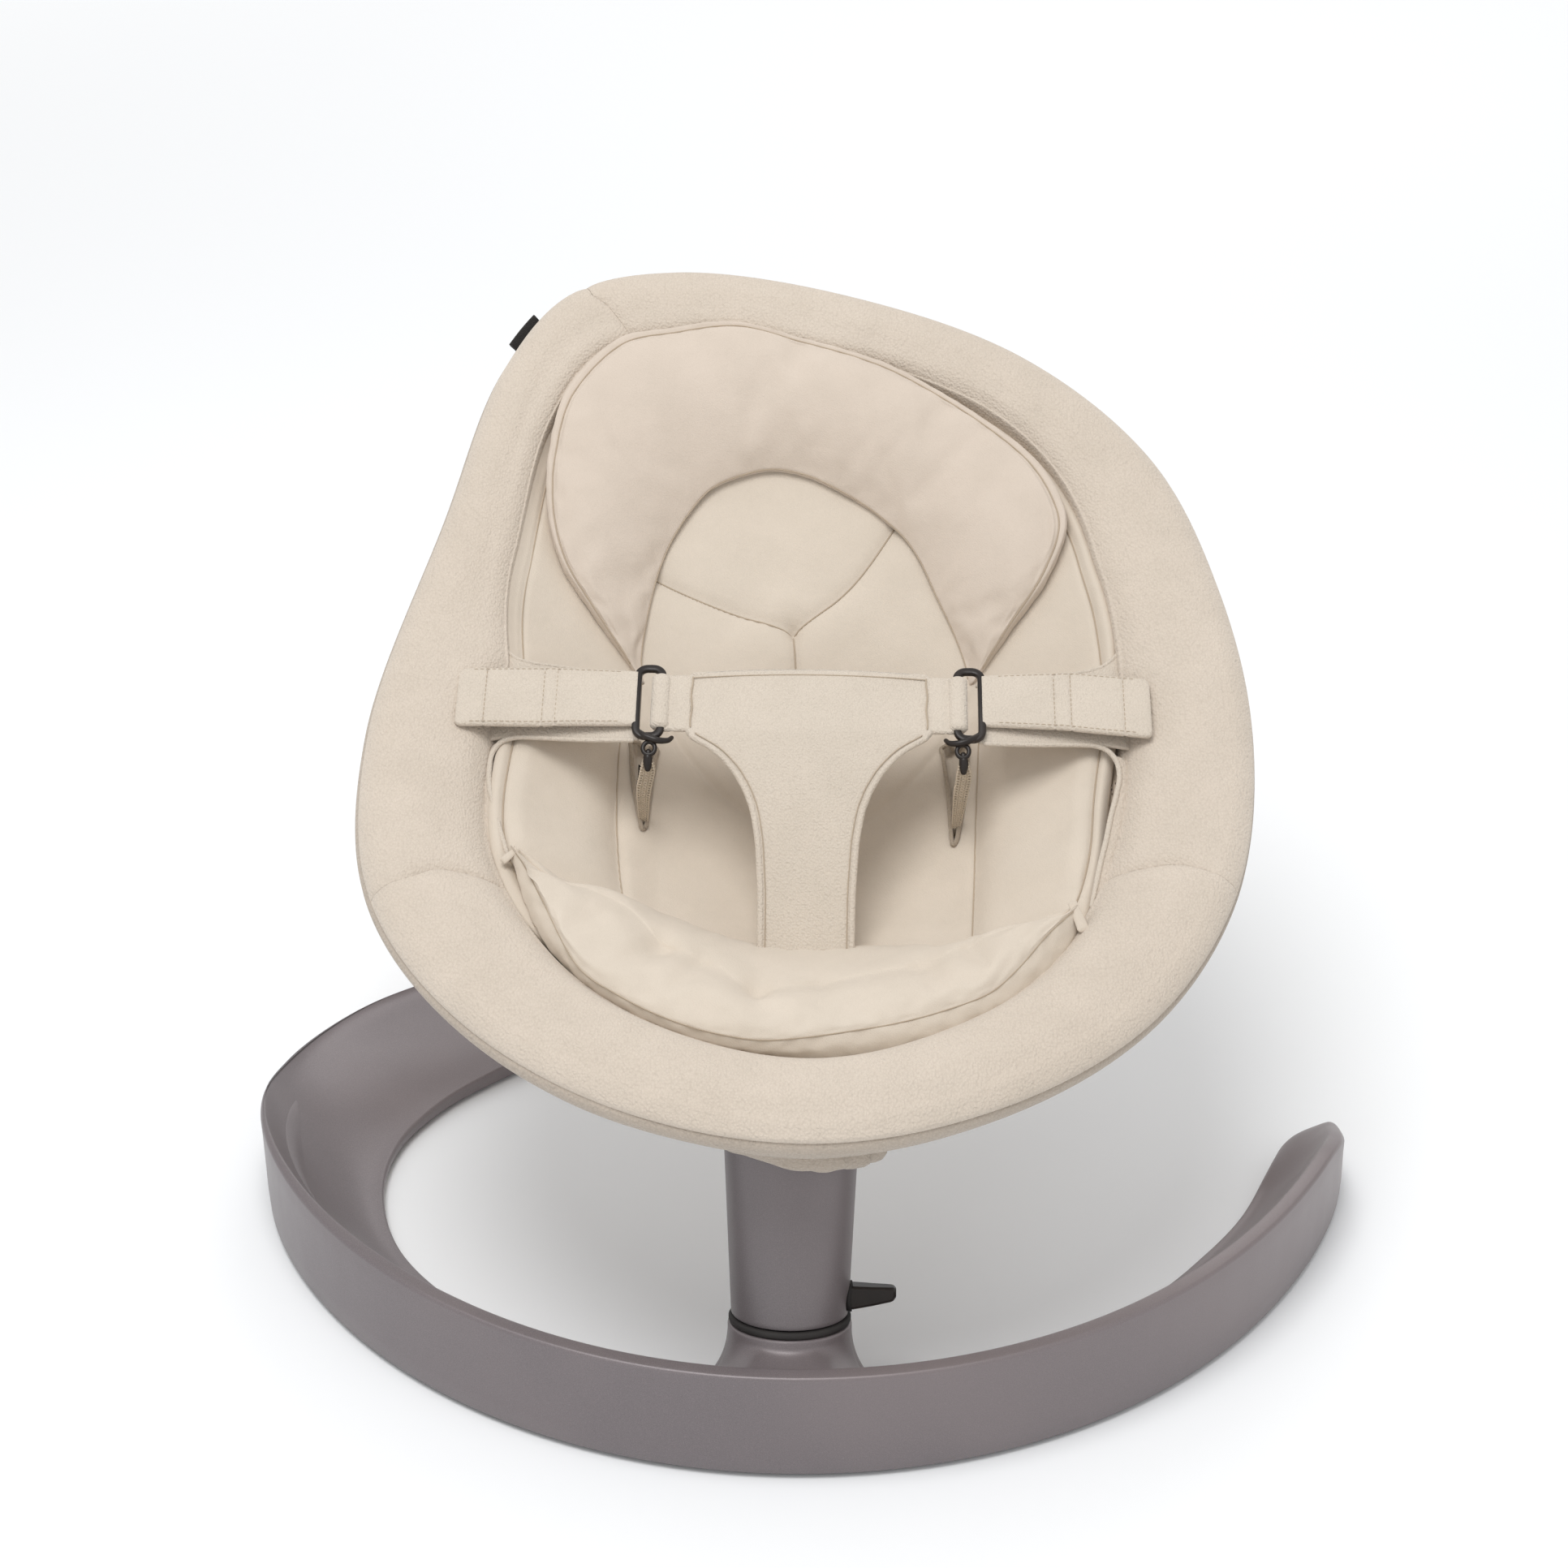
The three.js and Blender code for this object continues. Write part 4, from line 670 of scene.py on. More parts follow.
def corner(at, radius, start, end, steps=6):
    a = np.radians(np.linspace(start, end, steps))
    return np.stack([at[0] + radius * np.cos(a), at[1] + radius * np.sin(a)], 1)


def lip_at(angle):
    """Width of the flat lip: it fades out along the left of the ring."""
    return 1.5 + (BASE_LIP - 1.5) * (1 - smooth((angle - 122) / 58)) * smooth((angle - 7) / 9)


def base_top(outer, height, inner, edge, lip):
    """Visible profile of one section, from the foot of the outer wall to the foot of the inner edge."""
    hollow = 1.05 + 0.65 * smooth((height - edge - 12) / 40)
    size = min(1.0, (outer - inner) / 40, (height - PAD_H) / 40)
    lip = min(lip, (outer - inner) * 0.4)
    inside = outer - lip - size
    t = np.linspace(0.06, 1, 16)
    r = mix(inside, inner + 3 * size, t)
    z = edge + (height - 3 * size - edge) * (1 - t) ** hollow
    return np.vstack([
        [[outer - r * size, PAD_H + z * size] for r, z in ((2.6, 0), (1.4, 0.6), (0.8, 2))],
        [[outer - 0.35 * size, mix(PAD_H + 2 * size, height - 2.6 * size, k)] for k in (0.2, 0.4, 0.6, 0.8)],
        corner((outer - 2.5 * size, height - 2.6 * size), 2.4 * size, 4, 84, 7),
        corner((outer - lip + 1.4 * size, height - 1.9 * size), 1.9 * size, 92, 150, 5),
        np.stack([r, z], 1),
        corner((inner + 2.4 * size, edge - 2.4 * size), 2.3 * size, 100, 178, 5),
        [[inner + 0.6 * size, PAD_H + size], [inner + 1.6 * size, PAD_H]],
    ])


def base_section(angle, narrow=1.0, low=1.0):
    outer, height, inner, edge = base_at(angle)
    top = base_top(outer, height, inner, edge, lip_at(angle))
    x = (1 - np.cos(np.linspace(0, math.pi, len(top)))) / 2
    fall = np.maximum(0, x - 0.28) / 0.72
    rise = np.sqrt(1 - np.maximum(0, 1 - x / 0.28) ** 2) * (1 - 0.5 * fall ** 1.15) * np.sqrt(1 - fall ** 8)
    dome = np.stack([mix(outer, inner, x), PAD_H + (height - PAD_H) * rise], 1)
    top = mix(dome, top, smooth((angle - 9) / 11))
    roof = smooth((angle - HOLLOW[0]) / 3) * smooth((HOLLOW[1] - angle) / 3)
    t = np.linspace(1, 0, 12)
    r = mix(outer - BASE_LIP - 1, inner + 3, t)
    z = edge + (height - 3 - edge) * (1 - t) ** 1.7 - CAST_WALL - 1
    under = np.vstack([
        [[inner + 3 + CAST_WALL, PAD_H]], np.stack([r, mix(PAD_H, np.maximum(z, PAD_H), roof)], 1)[1:-1],
        [[outer - CAST_WALL, mix(PAD_H, height - 12, roof)], [outer - CAST_WALL, PAD_H]],
    ])
    pts = np.vstack([top, under])
    middle = (outer + inner) / 2
    r = mix(middle, pts[:, 0], narrow)
    z = mix(PAD_H, pts[:, 1], low)
    a = math.radians(angle)
    return np.stack([r * math.cos(a), -r * math.sin(a), z], 1)


def end_sections(angle, reach, shares):
    """Rounded end of the casting beyond a station, reach degrees long."""
    return [base_section(angle + reach * (1 - t * t), t, math.sqrt(1 - (1 - t * t) ** 2)) for t in shares]


rows = end_sections(BASE_STATIONS[0, 0], -0.14, np.linspace(0.04, 0.97, 8))
rows += [base_section(a) for a in np.arange(BASE_STATIONS[0, 0], 40, 0.4)]
rows += [base_section(a) for a in np.arange(40, BASE_STATIONS[-1, 0], 1.0)]
rows += end_sections(BASE_STATIONS[-1, 0], 8, np.linspace(0.985, 0.04, 24))
casting = loft(rows)


def base_surface(x, y):
    """Height of the casting's top at a point of the floor plan."""
    r, angle = math.hypot(x, y), math.degrees(math.atan2(-y, x)) % 360
    profile = base_top(*base_at(angle), lip_at(angle))
    upper = profile[7:-2][::-1]
    return float(np.interp(r, upper[:, 0], upper[:, 1]))


# collar: upright round the seal, then swept out into the casting with one fillet
COLLAR_R = 33.4
FILLET = 16.0
COLLAR_SHOULDER = -36.0  # along the axis


def drop_to_base(radius, a):
    """Where a line beside the axis meets the casting, or the shoulder round the collar."""
    x, y = radius * math.cos(a), radius * math.sin(a)
    low, high = COLLAR_SHOULDER, 8.0
    for _ in range(36):
        s = (low + high) / 2
        p = on_post([x, y, s])
        if p[2] > base_surface(p[0], p[1]):
            high = s
        else:
            low = s
    return on_post([x, y, low])


collar_rows = []
for a in full_turn(160):
    flare = FILLET - 9 * smooth((math.sin(a) + 0.1) / 0.6)
    outer = drop_to_base(COLLAR_R + flare, a)
    outer[2] -= 0.25
    outer_s = (outer - SWAY_FOOT).dot(SWAY_AXIS)
    start_s = min(outer_s + 31, -4.0)
    begin, root = (on_post([r * math.cos(a), r * math.sin(a), s]) for r, s in (
        (COLLAR_R, start_s), (COLLAR_R + 1, outer_s + 0.39 * (start_s - outer_s))))
    t = np.linspace(0, 1, 14)[:, None]
    sweep_in = begin * (1 - t) ** 2 + root * 2 * t * (1 - t) + outer * t * t
    wall = [on_post([r * math.cos(a), r * math.sin(a), s]) for r, s in (
        (14, 0.0), (COLLAR_R - 1.3, 0.0), (COLLAR_R - 0.6, -0.25), (COLLAR_R - 0.15, -0.8), (COLLAR_R, -1.6))]
    skirt = [on_post([(COLLAR_R + flare + r) * math.cos(a), (COLLAR_R + flare + r) * math.sin(a), outer_s - s])
             for r, s in ((1.6, 0.9), (2.6, 2.6), (3.2, 5), (4, 34))]
    for p in skirt:
        p[:2] *= min(1, 333 / math.hypot(p[0], p[1]))
        p[2] = max(p[2], 4)
    collar_rows.append(np.vstack([wall, sweep_in, skirt]))
collar = loft(np.array(collar_rows).transpose(1, 0, 2))
base = piece("base_casting", *merged([casting, collar]), BASE_PAINT, "base", "base_paint")
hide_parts("base_ring")

# ---------------------------------------------------------------- seal, post and lever
SEAL = [(14, 0.3), (31.6, 0.3), (32.5, 0.7), (32.9, 1.6), (32.9, 3.0), (32.4, 3.9), (31.4, 4.25), (14, 4.25)]
seal = piece("seal_band", *loft(revolve(SEAL)), RUBBER, "base", "rubber")
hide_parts("collar_seal")

LEVER_S = 15.0
POST_SIDES = 240
SCALLOP_R = 24.0


def hollowed(rows):
    """Shallow hollow in the post's right side, round the lever."""
    x, z = rows[..., 0], rows[..., 2]
    centre_x, centre_z = 31.5 + SCALLOP_R - 1.4, LEVER_S - 3
    reach = SCALLOP_R ** 2 - (z - centre_z) ** 2
    face = centre_x - np.sqrt(np.maximum(reach, 0))
    wall = np.hypot(rows[..., 0], rows[..., 1]) > 29
    rows[..., 0] = np.where(wall & (reach > 0) & (x > face), face, x)
    return rows


low_edge = 4.9
profile = [(27.6, low_edge), (30.6, low_edge), (31.2, low_edge + 0.25), (31.6, low_edge + 0.9)]
profile += [(31.6 + 4.4 * t, low_edge + 1 + (POST_LEN - low_edge - 1) * t) for t in np.linspace(0.02, 1, 90)]
profile += [(27.6, POST_LEN)]
post_points = revolve(profile, POST_SIDES, hollowed).reshape(-1, 3)
post_faces = grid_faces(len(profile), POST_SIDES, True, True)
post = piece("post_shell", post_points, post_faces, POST_PAINT, "swing", "post_paint")
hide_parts("post_tube")


def lever_row(x, height, width, drop, soft):
    """Section of the lever across its length, with chamfered corners."""
    h, w = height / 2, width / 2
    ring = [(-w + soft, -h), (w - soft, -h), (w, -h + soft), (w, h - soft),
            (w - soft, h), (-w + soft, h), (-w, h - soft), (-w, -h + soft)]
    return [on_post([x, y, LEVER_S + drop + z]) for y, z in ring]


lever_rows = [lever_row(*row) for row in (
    (16, 4, 6, -2, 0.6), (24, 6, 8, -1.5, 0.8), (29.5, 9, 11, -0.8, 1.0), (32, 12.4, 11, -1, 1.2),
    (34, 13, 11, -1, 1.4), (44, 10.7, 10, -0.35, 1.4), (54, 8.3, 8.6, 0.6, 1.4), (55.6, 7.6, 7.8, 0.8, 1.6),
    (57, 4.6, 4.6, 1.1, 1.0))]
lever = piece("lock_lever_arm", *loft(lever_rows), DARK_NYLON, "lock_lever", "dark_nylon", flat=True)
rounding = lever.modifiers.new("rounding", "BEVEL")
rounding.width = 0.0005
rounding.segments = 3
rounding.limit_method = "ANGLE"
rounding.angle_limit = math.radians(12)
rounding.harden_normals = False
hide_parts("lock_lever")

# dark socket that the lever comes out of
socket_ring = [(33.2 - 0.9 * math.cos(t) ** 2, 7.6 * math.cos(t), LEVER_S - 1.2 + 8.6 * math.sin(t))
               for t in full_turn(48)]
socket_lip = [(x + 0.25, 0.93 * y, LEVER_S - 1.2 + 0.94 * (z - LEVER_S + 1.2)) for x, y, z in socket_ring]
socket_inner = [(30.4, 0.88 * y, LEVER_S - 1.2 + 0.9 * (z - LEVER_S + 1.2)) for _, y, z in socket_ring]
socket_rows = [on_post(np.array(ring)) for ring in (socket_ring, socket_lip, socket_inner)]
socket_back = socket_rows[2] - on_post([1, 0, 0]) + on_post([0, 0, 0])
piece("lever_socket", *loft([socket_back, *socket_rows]), RUBBER, "swing", "rubber")


def add_piece(name, shape, material, slot_name, *nodes, body="seat", fill=None, flat=False):
    """A piece in the seat plane's own coordinates that stands for some CAD nodes."""
    points, faces = shape
    made = piece(name, on_seat(points), faces, material, body, slot_name, flat)
    if nodes:
        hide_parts(*nodes)
    return made


def through(curves, per_span=6):
    """Smooth surface through curves that run side by side: (curves, points, 3) to (rows, points, 3)."""
    c = np.asarray(curves, float)
    ghost_a, ghost_b = 2 * c[0] - c[1], 2 * c[-1] - c[-2]
    c = np.concatenate([[ghost_a], c, [ghost_b]])
    rows = []
    for i in range(1, len(c) - 2):
        a, b, d, e = c[i - 1], c[i], c[i + 1], c[i + 2]
        for t in np.linspace(0, 1, per_span, endpoint=False):
            rows.append(0.5 * (2 * b + (d - a) * t + (2 * a - 5 * b + 4 * d - e) * t * t
                               + (3 * b - a - 3 * d + e) * t ** 3))
    return np.array(rows + [c[-2]])


def seam_distance(u, v, path):
    """Distance of points of the seat plane to a path in it."""
    q = np.stack([np.ravel(u), np.ravel(v)], 1)
    best = np.full(len(q), np.inf)
    for a, b in zip(path[:-1], path[1:]):
        ab = b - a
        t = np.clip((q - a) @ ab / max(ab @ ab, 1e-9), 0, 1)
        best = np.minimum(best, np.linalg.norm(q - a - t[:, None] * ab, axis=1))
    return best.reshape(np.shape(u))


WAVES = 7


def waves(u, v, seed, size, reach):
    """Soft unevenness of stuffed cloth, of the given wavelength and height in millimetres."""
    rng = np.random.default_rng(seed)
    total = 0
    for _ in range(WAVES):
        angle, phase = rng.uniform(0, 2 * math.pi, 2)
        k = 2 * math.pi / (size * rng.uniform(0.7, 1.6))
        total = total + np.sin(k * (u * math.cos(angle) + v * math.sin(angle)) + phase)
    return reach * total / WAVES * 1.8


# ---------------------------------------------------------------- rim covers
def nearest_station(u, v):
    return int(np.argmin(np.hypot(RIM[:, 0] - u, RIM[:, 1] - v)))


HEAD_SEAM = nearest_station(-148, 613)
LEFT_SEAM = nearest_station(-233, 168)
RIGHT_SEAM = nearest_station(229, 180)
STATION_MM = np.linalg.norm(RIM[1] - RIM[0])
# how far each seam strays along the rim on its way in, in millimetres of outline
SEAMS = {
    HEAD_SEAM: lambda x: -16 * x,
    LEFT_SEAM: lambda x: 30 * smooth((x - 0.5) / 0.62),
    RIGHT_SEAM: lambda x: -30 * smooth((x - 0.42) / 0.7),
}


def station_gap(i, seam):
    """Millimetres along the outline from a seam, with a sign."""
    return ((i - seam + RIM_COUNT / 2) % RIM_COUNT - RIM_COUNT / 2) * STATION_MM


def rim_at(i, inward, up):
    """Rim points at stations that may be fractional."""
    low = np.floor(i).astype(int)
    t = (i - low)[..., None]
    return rim_point(low, inward, up) * (1 - t) + rim_point(low + 1, inward, up) * t


def skewed(stations, share):
    """Stations moved along the rim so that the rows beside a seam follow it."""
    moved = stations.copy()
    for seam, stray in SEAMS.items():
        fade = smooth(1 - np.abs(station_gap(stations, seam)) / 90)
        moved = moved + stray(share) * fade / STATION_MM
    return moved


def rim_lap(u, v):
    """How far the cover laps over the bowl's lining, along the left and the head."""
    return 4.6 * smooth((v - 325) / 30) * smooth((60 - u) / 70)


def seam_rise(u, v, degrees):
    """Degrees by which the seam under the rim's edge comes up at the foot of the seat."""
    most = (6 + 13 * np.exp(-((u - 5) / 75) ** 2)) * smooth((120 - v) / 100)
    return most * smooth((degrees - 128) / 34) * smooth((214 - degrees) / 34)


def rim_skin(stations, ends):
    """Closed hooked sections of the cover: outer skin from the bowl over the edge, then the inner skin."""
    plain = rim_at(stations, lambda b: 0 * b, 0.0)
    u, v = plain[:, 0], plain[:, 1]
    foot = smooth((215 - v) / 60)
    near = np.min([np.abs(station_gap(stations, seam)) for seam in ends], axis=0)
    sunk = np.exp(-(near / 4.2) ** 1.2)
    puff = (1.4 + 1.8 * foot) * (1 - np.exp(-(near / 24) ** 1.4))

    lap = rim_lap(u, v)
    low_side = smooth((345 - v) / 60)

    def row(share, offset, up, sink, swell=0.0):
        at = skewed(stations, float(np.clip(share + offset / 62, 0, 1)))
        offset = offset + lap * smooth((share - 0.5) / 0.5)
        height = up - sink * sunk + swell * puff + waves(u, v, 3 + int(10 * share), 95, 0.5 * swell)
        return rim_at(at, lambda b: share * b + offset, height)

    def edge(degrees, radius):
        a = np.radians(degrees - seam_rise(u, v, degrees))
        r = radius - 1.1 * sunk * (degrees < 160)
        return rim_at(skewed(stations, 0.1), lambda b: 14 + r * np.cos(a) + 0 * b, r * np.sin(a))

    def band(t, sink, swell):
        """t is 0 at the top of the rounded edge and 1 at the bowl."""
        drop = mix(10.5, 15.5, low_side) * t ** 1.6 + mix(3.0, 7.0, low_side) * smooth((t - 0.82) / 0.18)
        return row(t, EDGE_R * 1.12 * (1 - t), 14.2 - drop, sink, swell)

    outer = [row(1, 2.5, -20, 0), row(1, 1.4, -13, 0.6)]
    outer += [band(*k) for k in ((1, 1.4, 0.1), (0.96, 2.0, 0.3), (0.9, 2.2, 0.5), (0.78, 2.4, 0.8), (0.6, 2.4, 1.0),
                                 (0.4, 2.4, 1.0), (0.2, 2.4, 0.8))]
    outer += [edge(*k) for k in ((88, 14.3), (108, 14.3), (130, 14.5), (148, 14.9), (158, 14.8), (164, 14.4),
                                 (168, 13.4), (171, 11.2))]
    inner = [edge(*k) for k in ((172, 10.6), (140, 10.3), (105, 10.3), (75, 10.4))]
    inner += [row(*k) for k in ((0.44, 0, 7.2, 0.4), (0.66, 0, 2.2, 0.4), (0.86, -3, -4.8, 0.4), (1, -2.5, -13, 0.4),
                                (1, 0.6, -20, 0))]
    return np.concatenate([through(outer, 4), through(inner, 2)]).transpose(1, 0, 2)


def rim_cover(name, node, start, end):
    """One sewn length of the cover between two seams, with finer rows near them."""
    count = (end - start) % RIM_COUNT
    close = np.array([0.12, 0.4, 0.8, 1.3, 1.9, 2.7, 3.7, 4.9, 6.3, 8]) / STATION_MM
    inside = np.arange(math.ceil(close[-1]) + 1, count - math.ceil(close[-1]))
    stations = np.concatenate([start + close, start + inside, start + count - close[::-1]])
    return add_piece(name, loft(rim_skin(stations, (start, end))), RIM_KNIT, "cream_knit", node, fill=0.8)


rim_cover("rim_front", "rim_cover_foot", LEFT_SEAM, RIGHT_SEAM)
rim_cover("rim_right", "rim_cover_right", RIGHT_SEAM, HEAD_SEAM)
rim_cover("rim_left", "rim_cover_left", HEAD_SEAM, LEFT_SEAM)

# ---------------------------------------------------------------- under cover with its skirt
HEM_R = 39.0
HEM_DROP = 1.5  # hem under the post's top
UNDER_GAP = 30.0
UNDER_T = 2.4
TO_SEAT = np.array([[1, 0, 0], [0, math.cos(SEAT_TILT), math.sin(SEAT_TILT)],
                    [0, -math.sin(SEAT_TILT), math.cos(SEAT_TILT)]])


def to_seat(p):
    return (np.asarray(p) - SEAT_FOOT) @ TO_SEAT.T


def under_rings():
    """Rings from the seam under the rim's edge, round it and down to the skirt's hem."""
    stations = np.arange(0, RIM_COUNT, 2)
    left = 1.5 * smooth((-40 - RIM[stations, 0]) / 80)
    middle = to_seat(PIVOT)
    back = np.array([0, math.cos(POST_LEAN), -math.sin(POST_LEAN)])
    centre = SWAY_FOOT + SWAY_AXIS * (POST_LEN - HEM_DROP)
    rings = []
    for degrees, radius in ((167, 7.4), (170, 9.0), (173, 11.0), (178, 12.3), (188, 12.3), (202, 11.9), (220, 11.3),
                            (242, 11.0)):
        a = np.radians(degrees - seam_rise(*RIM[stations, :2].T, degrees))
        rings.append(rim_point(stations, lambda b: 14 + (radius + left) * np.cos(a), (radius + left) * np.sin(a)))
    start = rim_point(stations, lambda b: 14 + 0 * b, -11.0 - left)
    angle = np.arctan2(start[:, 1] - middle[1], start[:, 0] - middle[0])
    ring = np.cos(angle)[:, None] * [1, 0, 0] + np.sin(angle)[:, None] * back
    low = to_seat(centre + HEM_R * ring)
    slack = np.maximum(0, np.cos(angle + 0.75)) ** 2
    for t in np.concatenate([np.linspace(0, 0.1, 6), np.linspace(0.125, 0.7, 24), np.linspace(0.72, 1, 18)]):
        p = start * (1 - t) + low * t
        share = bowl_share(p[:, 0], p[:, 1])
        room = UNDER_GAP * smooth((1.35 - share) / 0.5)
        hang = np.minimum(sling_top(p[:, 0], p[:, 1]) - 4 - room, start[:, 2] - 6 * t)
        shape = mix(start[:, 2], hang, smooth(t / 0.1))
        p[:, 2] = mix(shape, low[:, 2], smooth((t - 0.72) / 0.28))
        p[:, 2] += bump(t, 0.4, 0.36) * waves(p[:, 0], p[:, 1], 31, 150, 1.4)
        gather = bump(t, 0.86, 0.2)
        folds = np.sin(angle * 9 + 2.2 * np.sin(angle * 2)) + 0.6 * np.sin(angle * 17 + 1.3)
        p[:, 2] += (1.3 + 1.2 * slack) * gather * folds
        crease = 1 - np.abs(np.sin(angle * 6.5 + 0.9 + 1.6 * t)) ** 0.6
        p[:, 2] += 3.2 * slack * bump(t, 0.87, 0.16) * crease
        # loose cloth that bags out beside the post at the front right
        bag = bump(t, 0.93, 0.2) * slack
        p[:, 0] += (11 + 2 * np.sin(angle * 23)) * bag * np.cos(angle)
        p[:, 1] += 9 * bag * np.sin(angle)
        p[:, 2] -= (2.5 + 1.6 * np.sin(angle * 19 + 5 * t)) * bag
        rings.append(p)
    return np.array(rings)


def shell(rings, thickness):
    """Closed sheet of cloth: rings of points and the same rings pushed out along their normal."""
    along = np.gradient(rings, axis=0)
    around = np.roll(rings, -1, 1) - np.roll(rings, 1, 1)
    normal = np.cross(around, along)
    normal /= np.linalg.norm(normal, axis=-1, keepdims=True)
    second = rings + normal * thickness
    n, m = rings.shape[:2]
    faces = grid_faces(n, m, round_columns=True) + grid_faces(n, m, round_columns=True, start=n * m)
    for ring in (0, n - 1):
        faces += [(ring * m + j, ring * m + (j + 1) % m, (n + ring) * m + (j + 1) % m, (n + ring) * m + j)
                  for j in range(m)]
    return np.concatenate([rings, second]), faces


under_sheet = under_rings()
under = add_piece("under_cover_sewn", shell(under_sheet, -UNDER_T), UNDER_KNIT, "cream_knit", "under_cover")
# rolled hem round the skirt's opening
hem = add_piece("skirt_hem", tube(under_sheet[-1], 1.7, 8, closed=True), UNDER_KNIT, "cream_knit")
for cloth in (under, hem):
    cloth.parent = None
    cloth.matrix_world = Matrix.Identity(4)
    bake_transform(cloth)

# ---------------------------------------------------------------- sling
# how far the insert reaches towards the bowl's edge: short of it beside the wings and at the foot
layer_share = (1 - np.where(INNER[:, 0] > 0, 0.038 * bump(INNER[:, 1], 245, 85), 0)
               - 0.02 * smooth((165 - INNER[:, 1]) / 30))
LAYER_REACH = layer_share[inner_order]


def bowl_layer(shares, high, low_lift, low_shares, reach=1.0, step=1):
    """Layer that lines the bowl, on rings that shrink to its middle: high and low_lift are over the sling.

    reach is how far it goes towards the bowl's edge; it has a line at every step-th station of the rim."""
    def face(ring_shares, lift):
        s = np.asarray(ring_shares)[:, None, None] * np.reshape(reach, (1, -1, 1))
        u, v = np.moveaxis(BOWL_CENTRE + (INNER[::step, :2] - BOWL_CENTRE) * s, -1, 0)
        return np.dstack([u, v, sling_top(u, v) + lift(u, v)])

    return bowl(face(shares, high), face(low_shares, lambda u, v: low_lift))


ring_shares = np.concatenate([[1, 0.985], np.linspace(0.965, 0.04, 40)])
sling_layer = bowl_layer(ring_shares, lambda u, v: -0.1, -2.0, ring_shares[::2], step=2)
sling = add_piece("mesh_sling", sling_layer, SLING_NET, "mesh_sling", "sling")

# ---------------------------------------------------------------- quilted insert
Y_HUB = (-11, 399)
Y_LEFT = spline([Y_HUB, (-29, 404), (-59, 414), (-94, 427), (-112, 436)], 60)
Y_RIGHT = spline([Y_HUB, (5, 410), (27, 430), (48, 459), (60, 480)], 60)
Y_STEM = spline([Y_HUB, (-9, 372), (-8, 330), (-7, 250), (-6, 196)], 60)
WING_LEFT = spline([(-108, 352), (-111, 322), (-111, 270), (-107, 226), (-101, 188)], 60)
WING_RIGHT = spline([(100, 350), (99, 319), (97, 276), (95, 226), (92, 170)], 60)
SLIT_LEFT = spline([(-97, 316), (-97, 290), (-95, 259)], 24)
SLIT_RIGHT = spline([(85, 321), (86, 292), (84, 253)], 24)
INSERT_T = 14.0
EDGE_SEAM = 9.0  # from the insert's edge to its sewn line


def slit_half(path, u, v):
    """Half width of the slit beside each point: open at the top and pointed below."""
    t = np.clip((v - path[-1, 1]) / (path[0, 1] - path[-1, 1]), 0, 1)
    return 6.6 * np.power(t, 0.8) * np.clip((path[0, 1] + 1 - v) / 3, 0, 1) ** 0.5


def insert_lift(u, v):
    """Height of the insert's face over the sling."""
    angle = np.arctan2(v - BOWL_CENTRE[1], u - BOWL_CENTRE[0])
    edge_r = np.interp(angle, INNER_A, INNER_R, period=2 * math.pi)
    reach = np.interp(angle, INNER_A, LAYER_REACH, period=2 * math.pi)
    from_edge = (reach - bowl_share(u, v)) * edge_r
    high_side = smooth((v - 330) / 40)
    edge_round = mix(mix(15, 9, smooth((v - 195) / 25)), 6, high_side)
    crown = np.sqrt(1 - (1 - np.clip(from_edge / edge_round, 0, 1)) ** 2)
    edge_lift = mix(np.where(u < 0, 6.5, 3.0), 10.0, high_side)
    lift = edge_lift + (INSERT_T + 1 - edge_lift) * crown
    sides = smooth((np.abs(u) - 70) / 40) * smooth((v - 170) / 30)
    lift -= 1.9 * sides * np.exp(-((from_edge - EDGE_SEAM - rim_lap(u, v)) / 1.5) ** 2)
    lift += 1.2 * sides * bump(from_edge, 4.5, 4.5)
    for path in (Y_LEFT, Y_RIGHT, Y_STEM):
        d = seam_distance(u, v, path)
        lift += 1.0 * np.exp(-((d - 16) / 12) ** 2) - 2.7 * np.exp(-(d / 3.4) ** 1.3)
    for path, side in ((WING_LEFT, -1), (WING_RIGHT, 1)):
        d = seam_distance(u, v, path)
        outer = side * u > np.abs(across_at(path, v))
        low = smooth((352 - v) / 26)
        wing = 11.5 * (1 - np.exp(-(d / 10) ** 1.4)) * smooth(from_edge / 22) * (0.45 + 0.55 * smooth((v - 188) / 34))
        lift += low * np.where(outer, wing, 0.0) - low * 3.2 * np.exp(-(d / 3.4) ** 1.3)
    for path in (SLIT_LEFT, SLIT_RIGHT):
        half = slit_half(path, u, v)
        across = np.abs(u - across_at(path, v))
        lift -= 8.0 * smooth((half - across) / 1.6 + 0.3) * (half > 0.2)
    # fold where the seat base meets the back, and the soft hollows on both sides of the crotch pad
    crease = 268 + 0.009 * u * u
    base_side = smooth((104 - np.abs(u)) / 20)
    lift -= base_side * 2.4 * np.exp(-((v - crease) / 5) ** 2)
    lift -= base_side * 5.0 * bump(v, 215, 70)
    lift += waves(u, v, 11, 70, 0.7) * crown
    return np.maximum(lift, 1.5)


# rings of the insert: close together near its edge, in millimetres in from it
BOWL_R = 190
edge_rings = np.array([0, 0.25, 0.7, 1.3, 2.1, 3.1, 4.3, 5.6, 7, 8.2, 9, 9.8, 11, 13, 15])
insert_shares = np.concatenate([1 - edge_rings / BOWL_R, np.linspace(1 - 17 / BOWL_R, 0.012, 96)])
add_piece("insert_quilt", bowl_layer(insert_shares, insert_lift, 0.5, np.linspace(1, 0.05, 14), layer_share),
          JERSEY, "cream_quilt", "insert_pad", fill=0.6)


def on_insert(path, over=0.0):
    path = np.asarray(path)
    u, v = path[:, 0], path[:, 1]
    return np.stack([u, v, sling_top(u, v) + insert_lift(u, v) + over], 1)


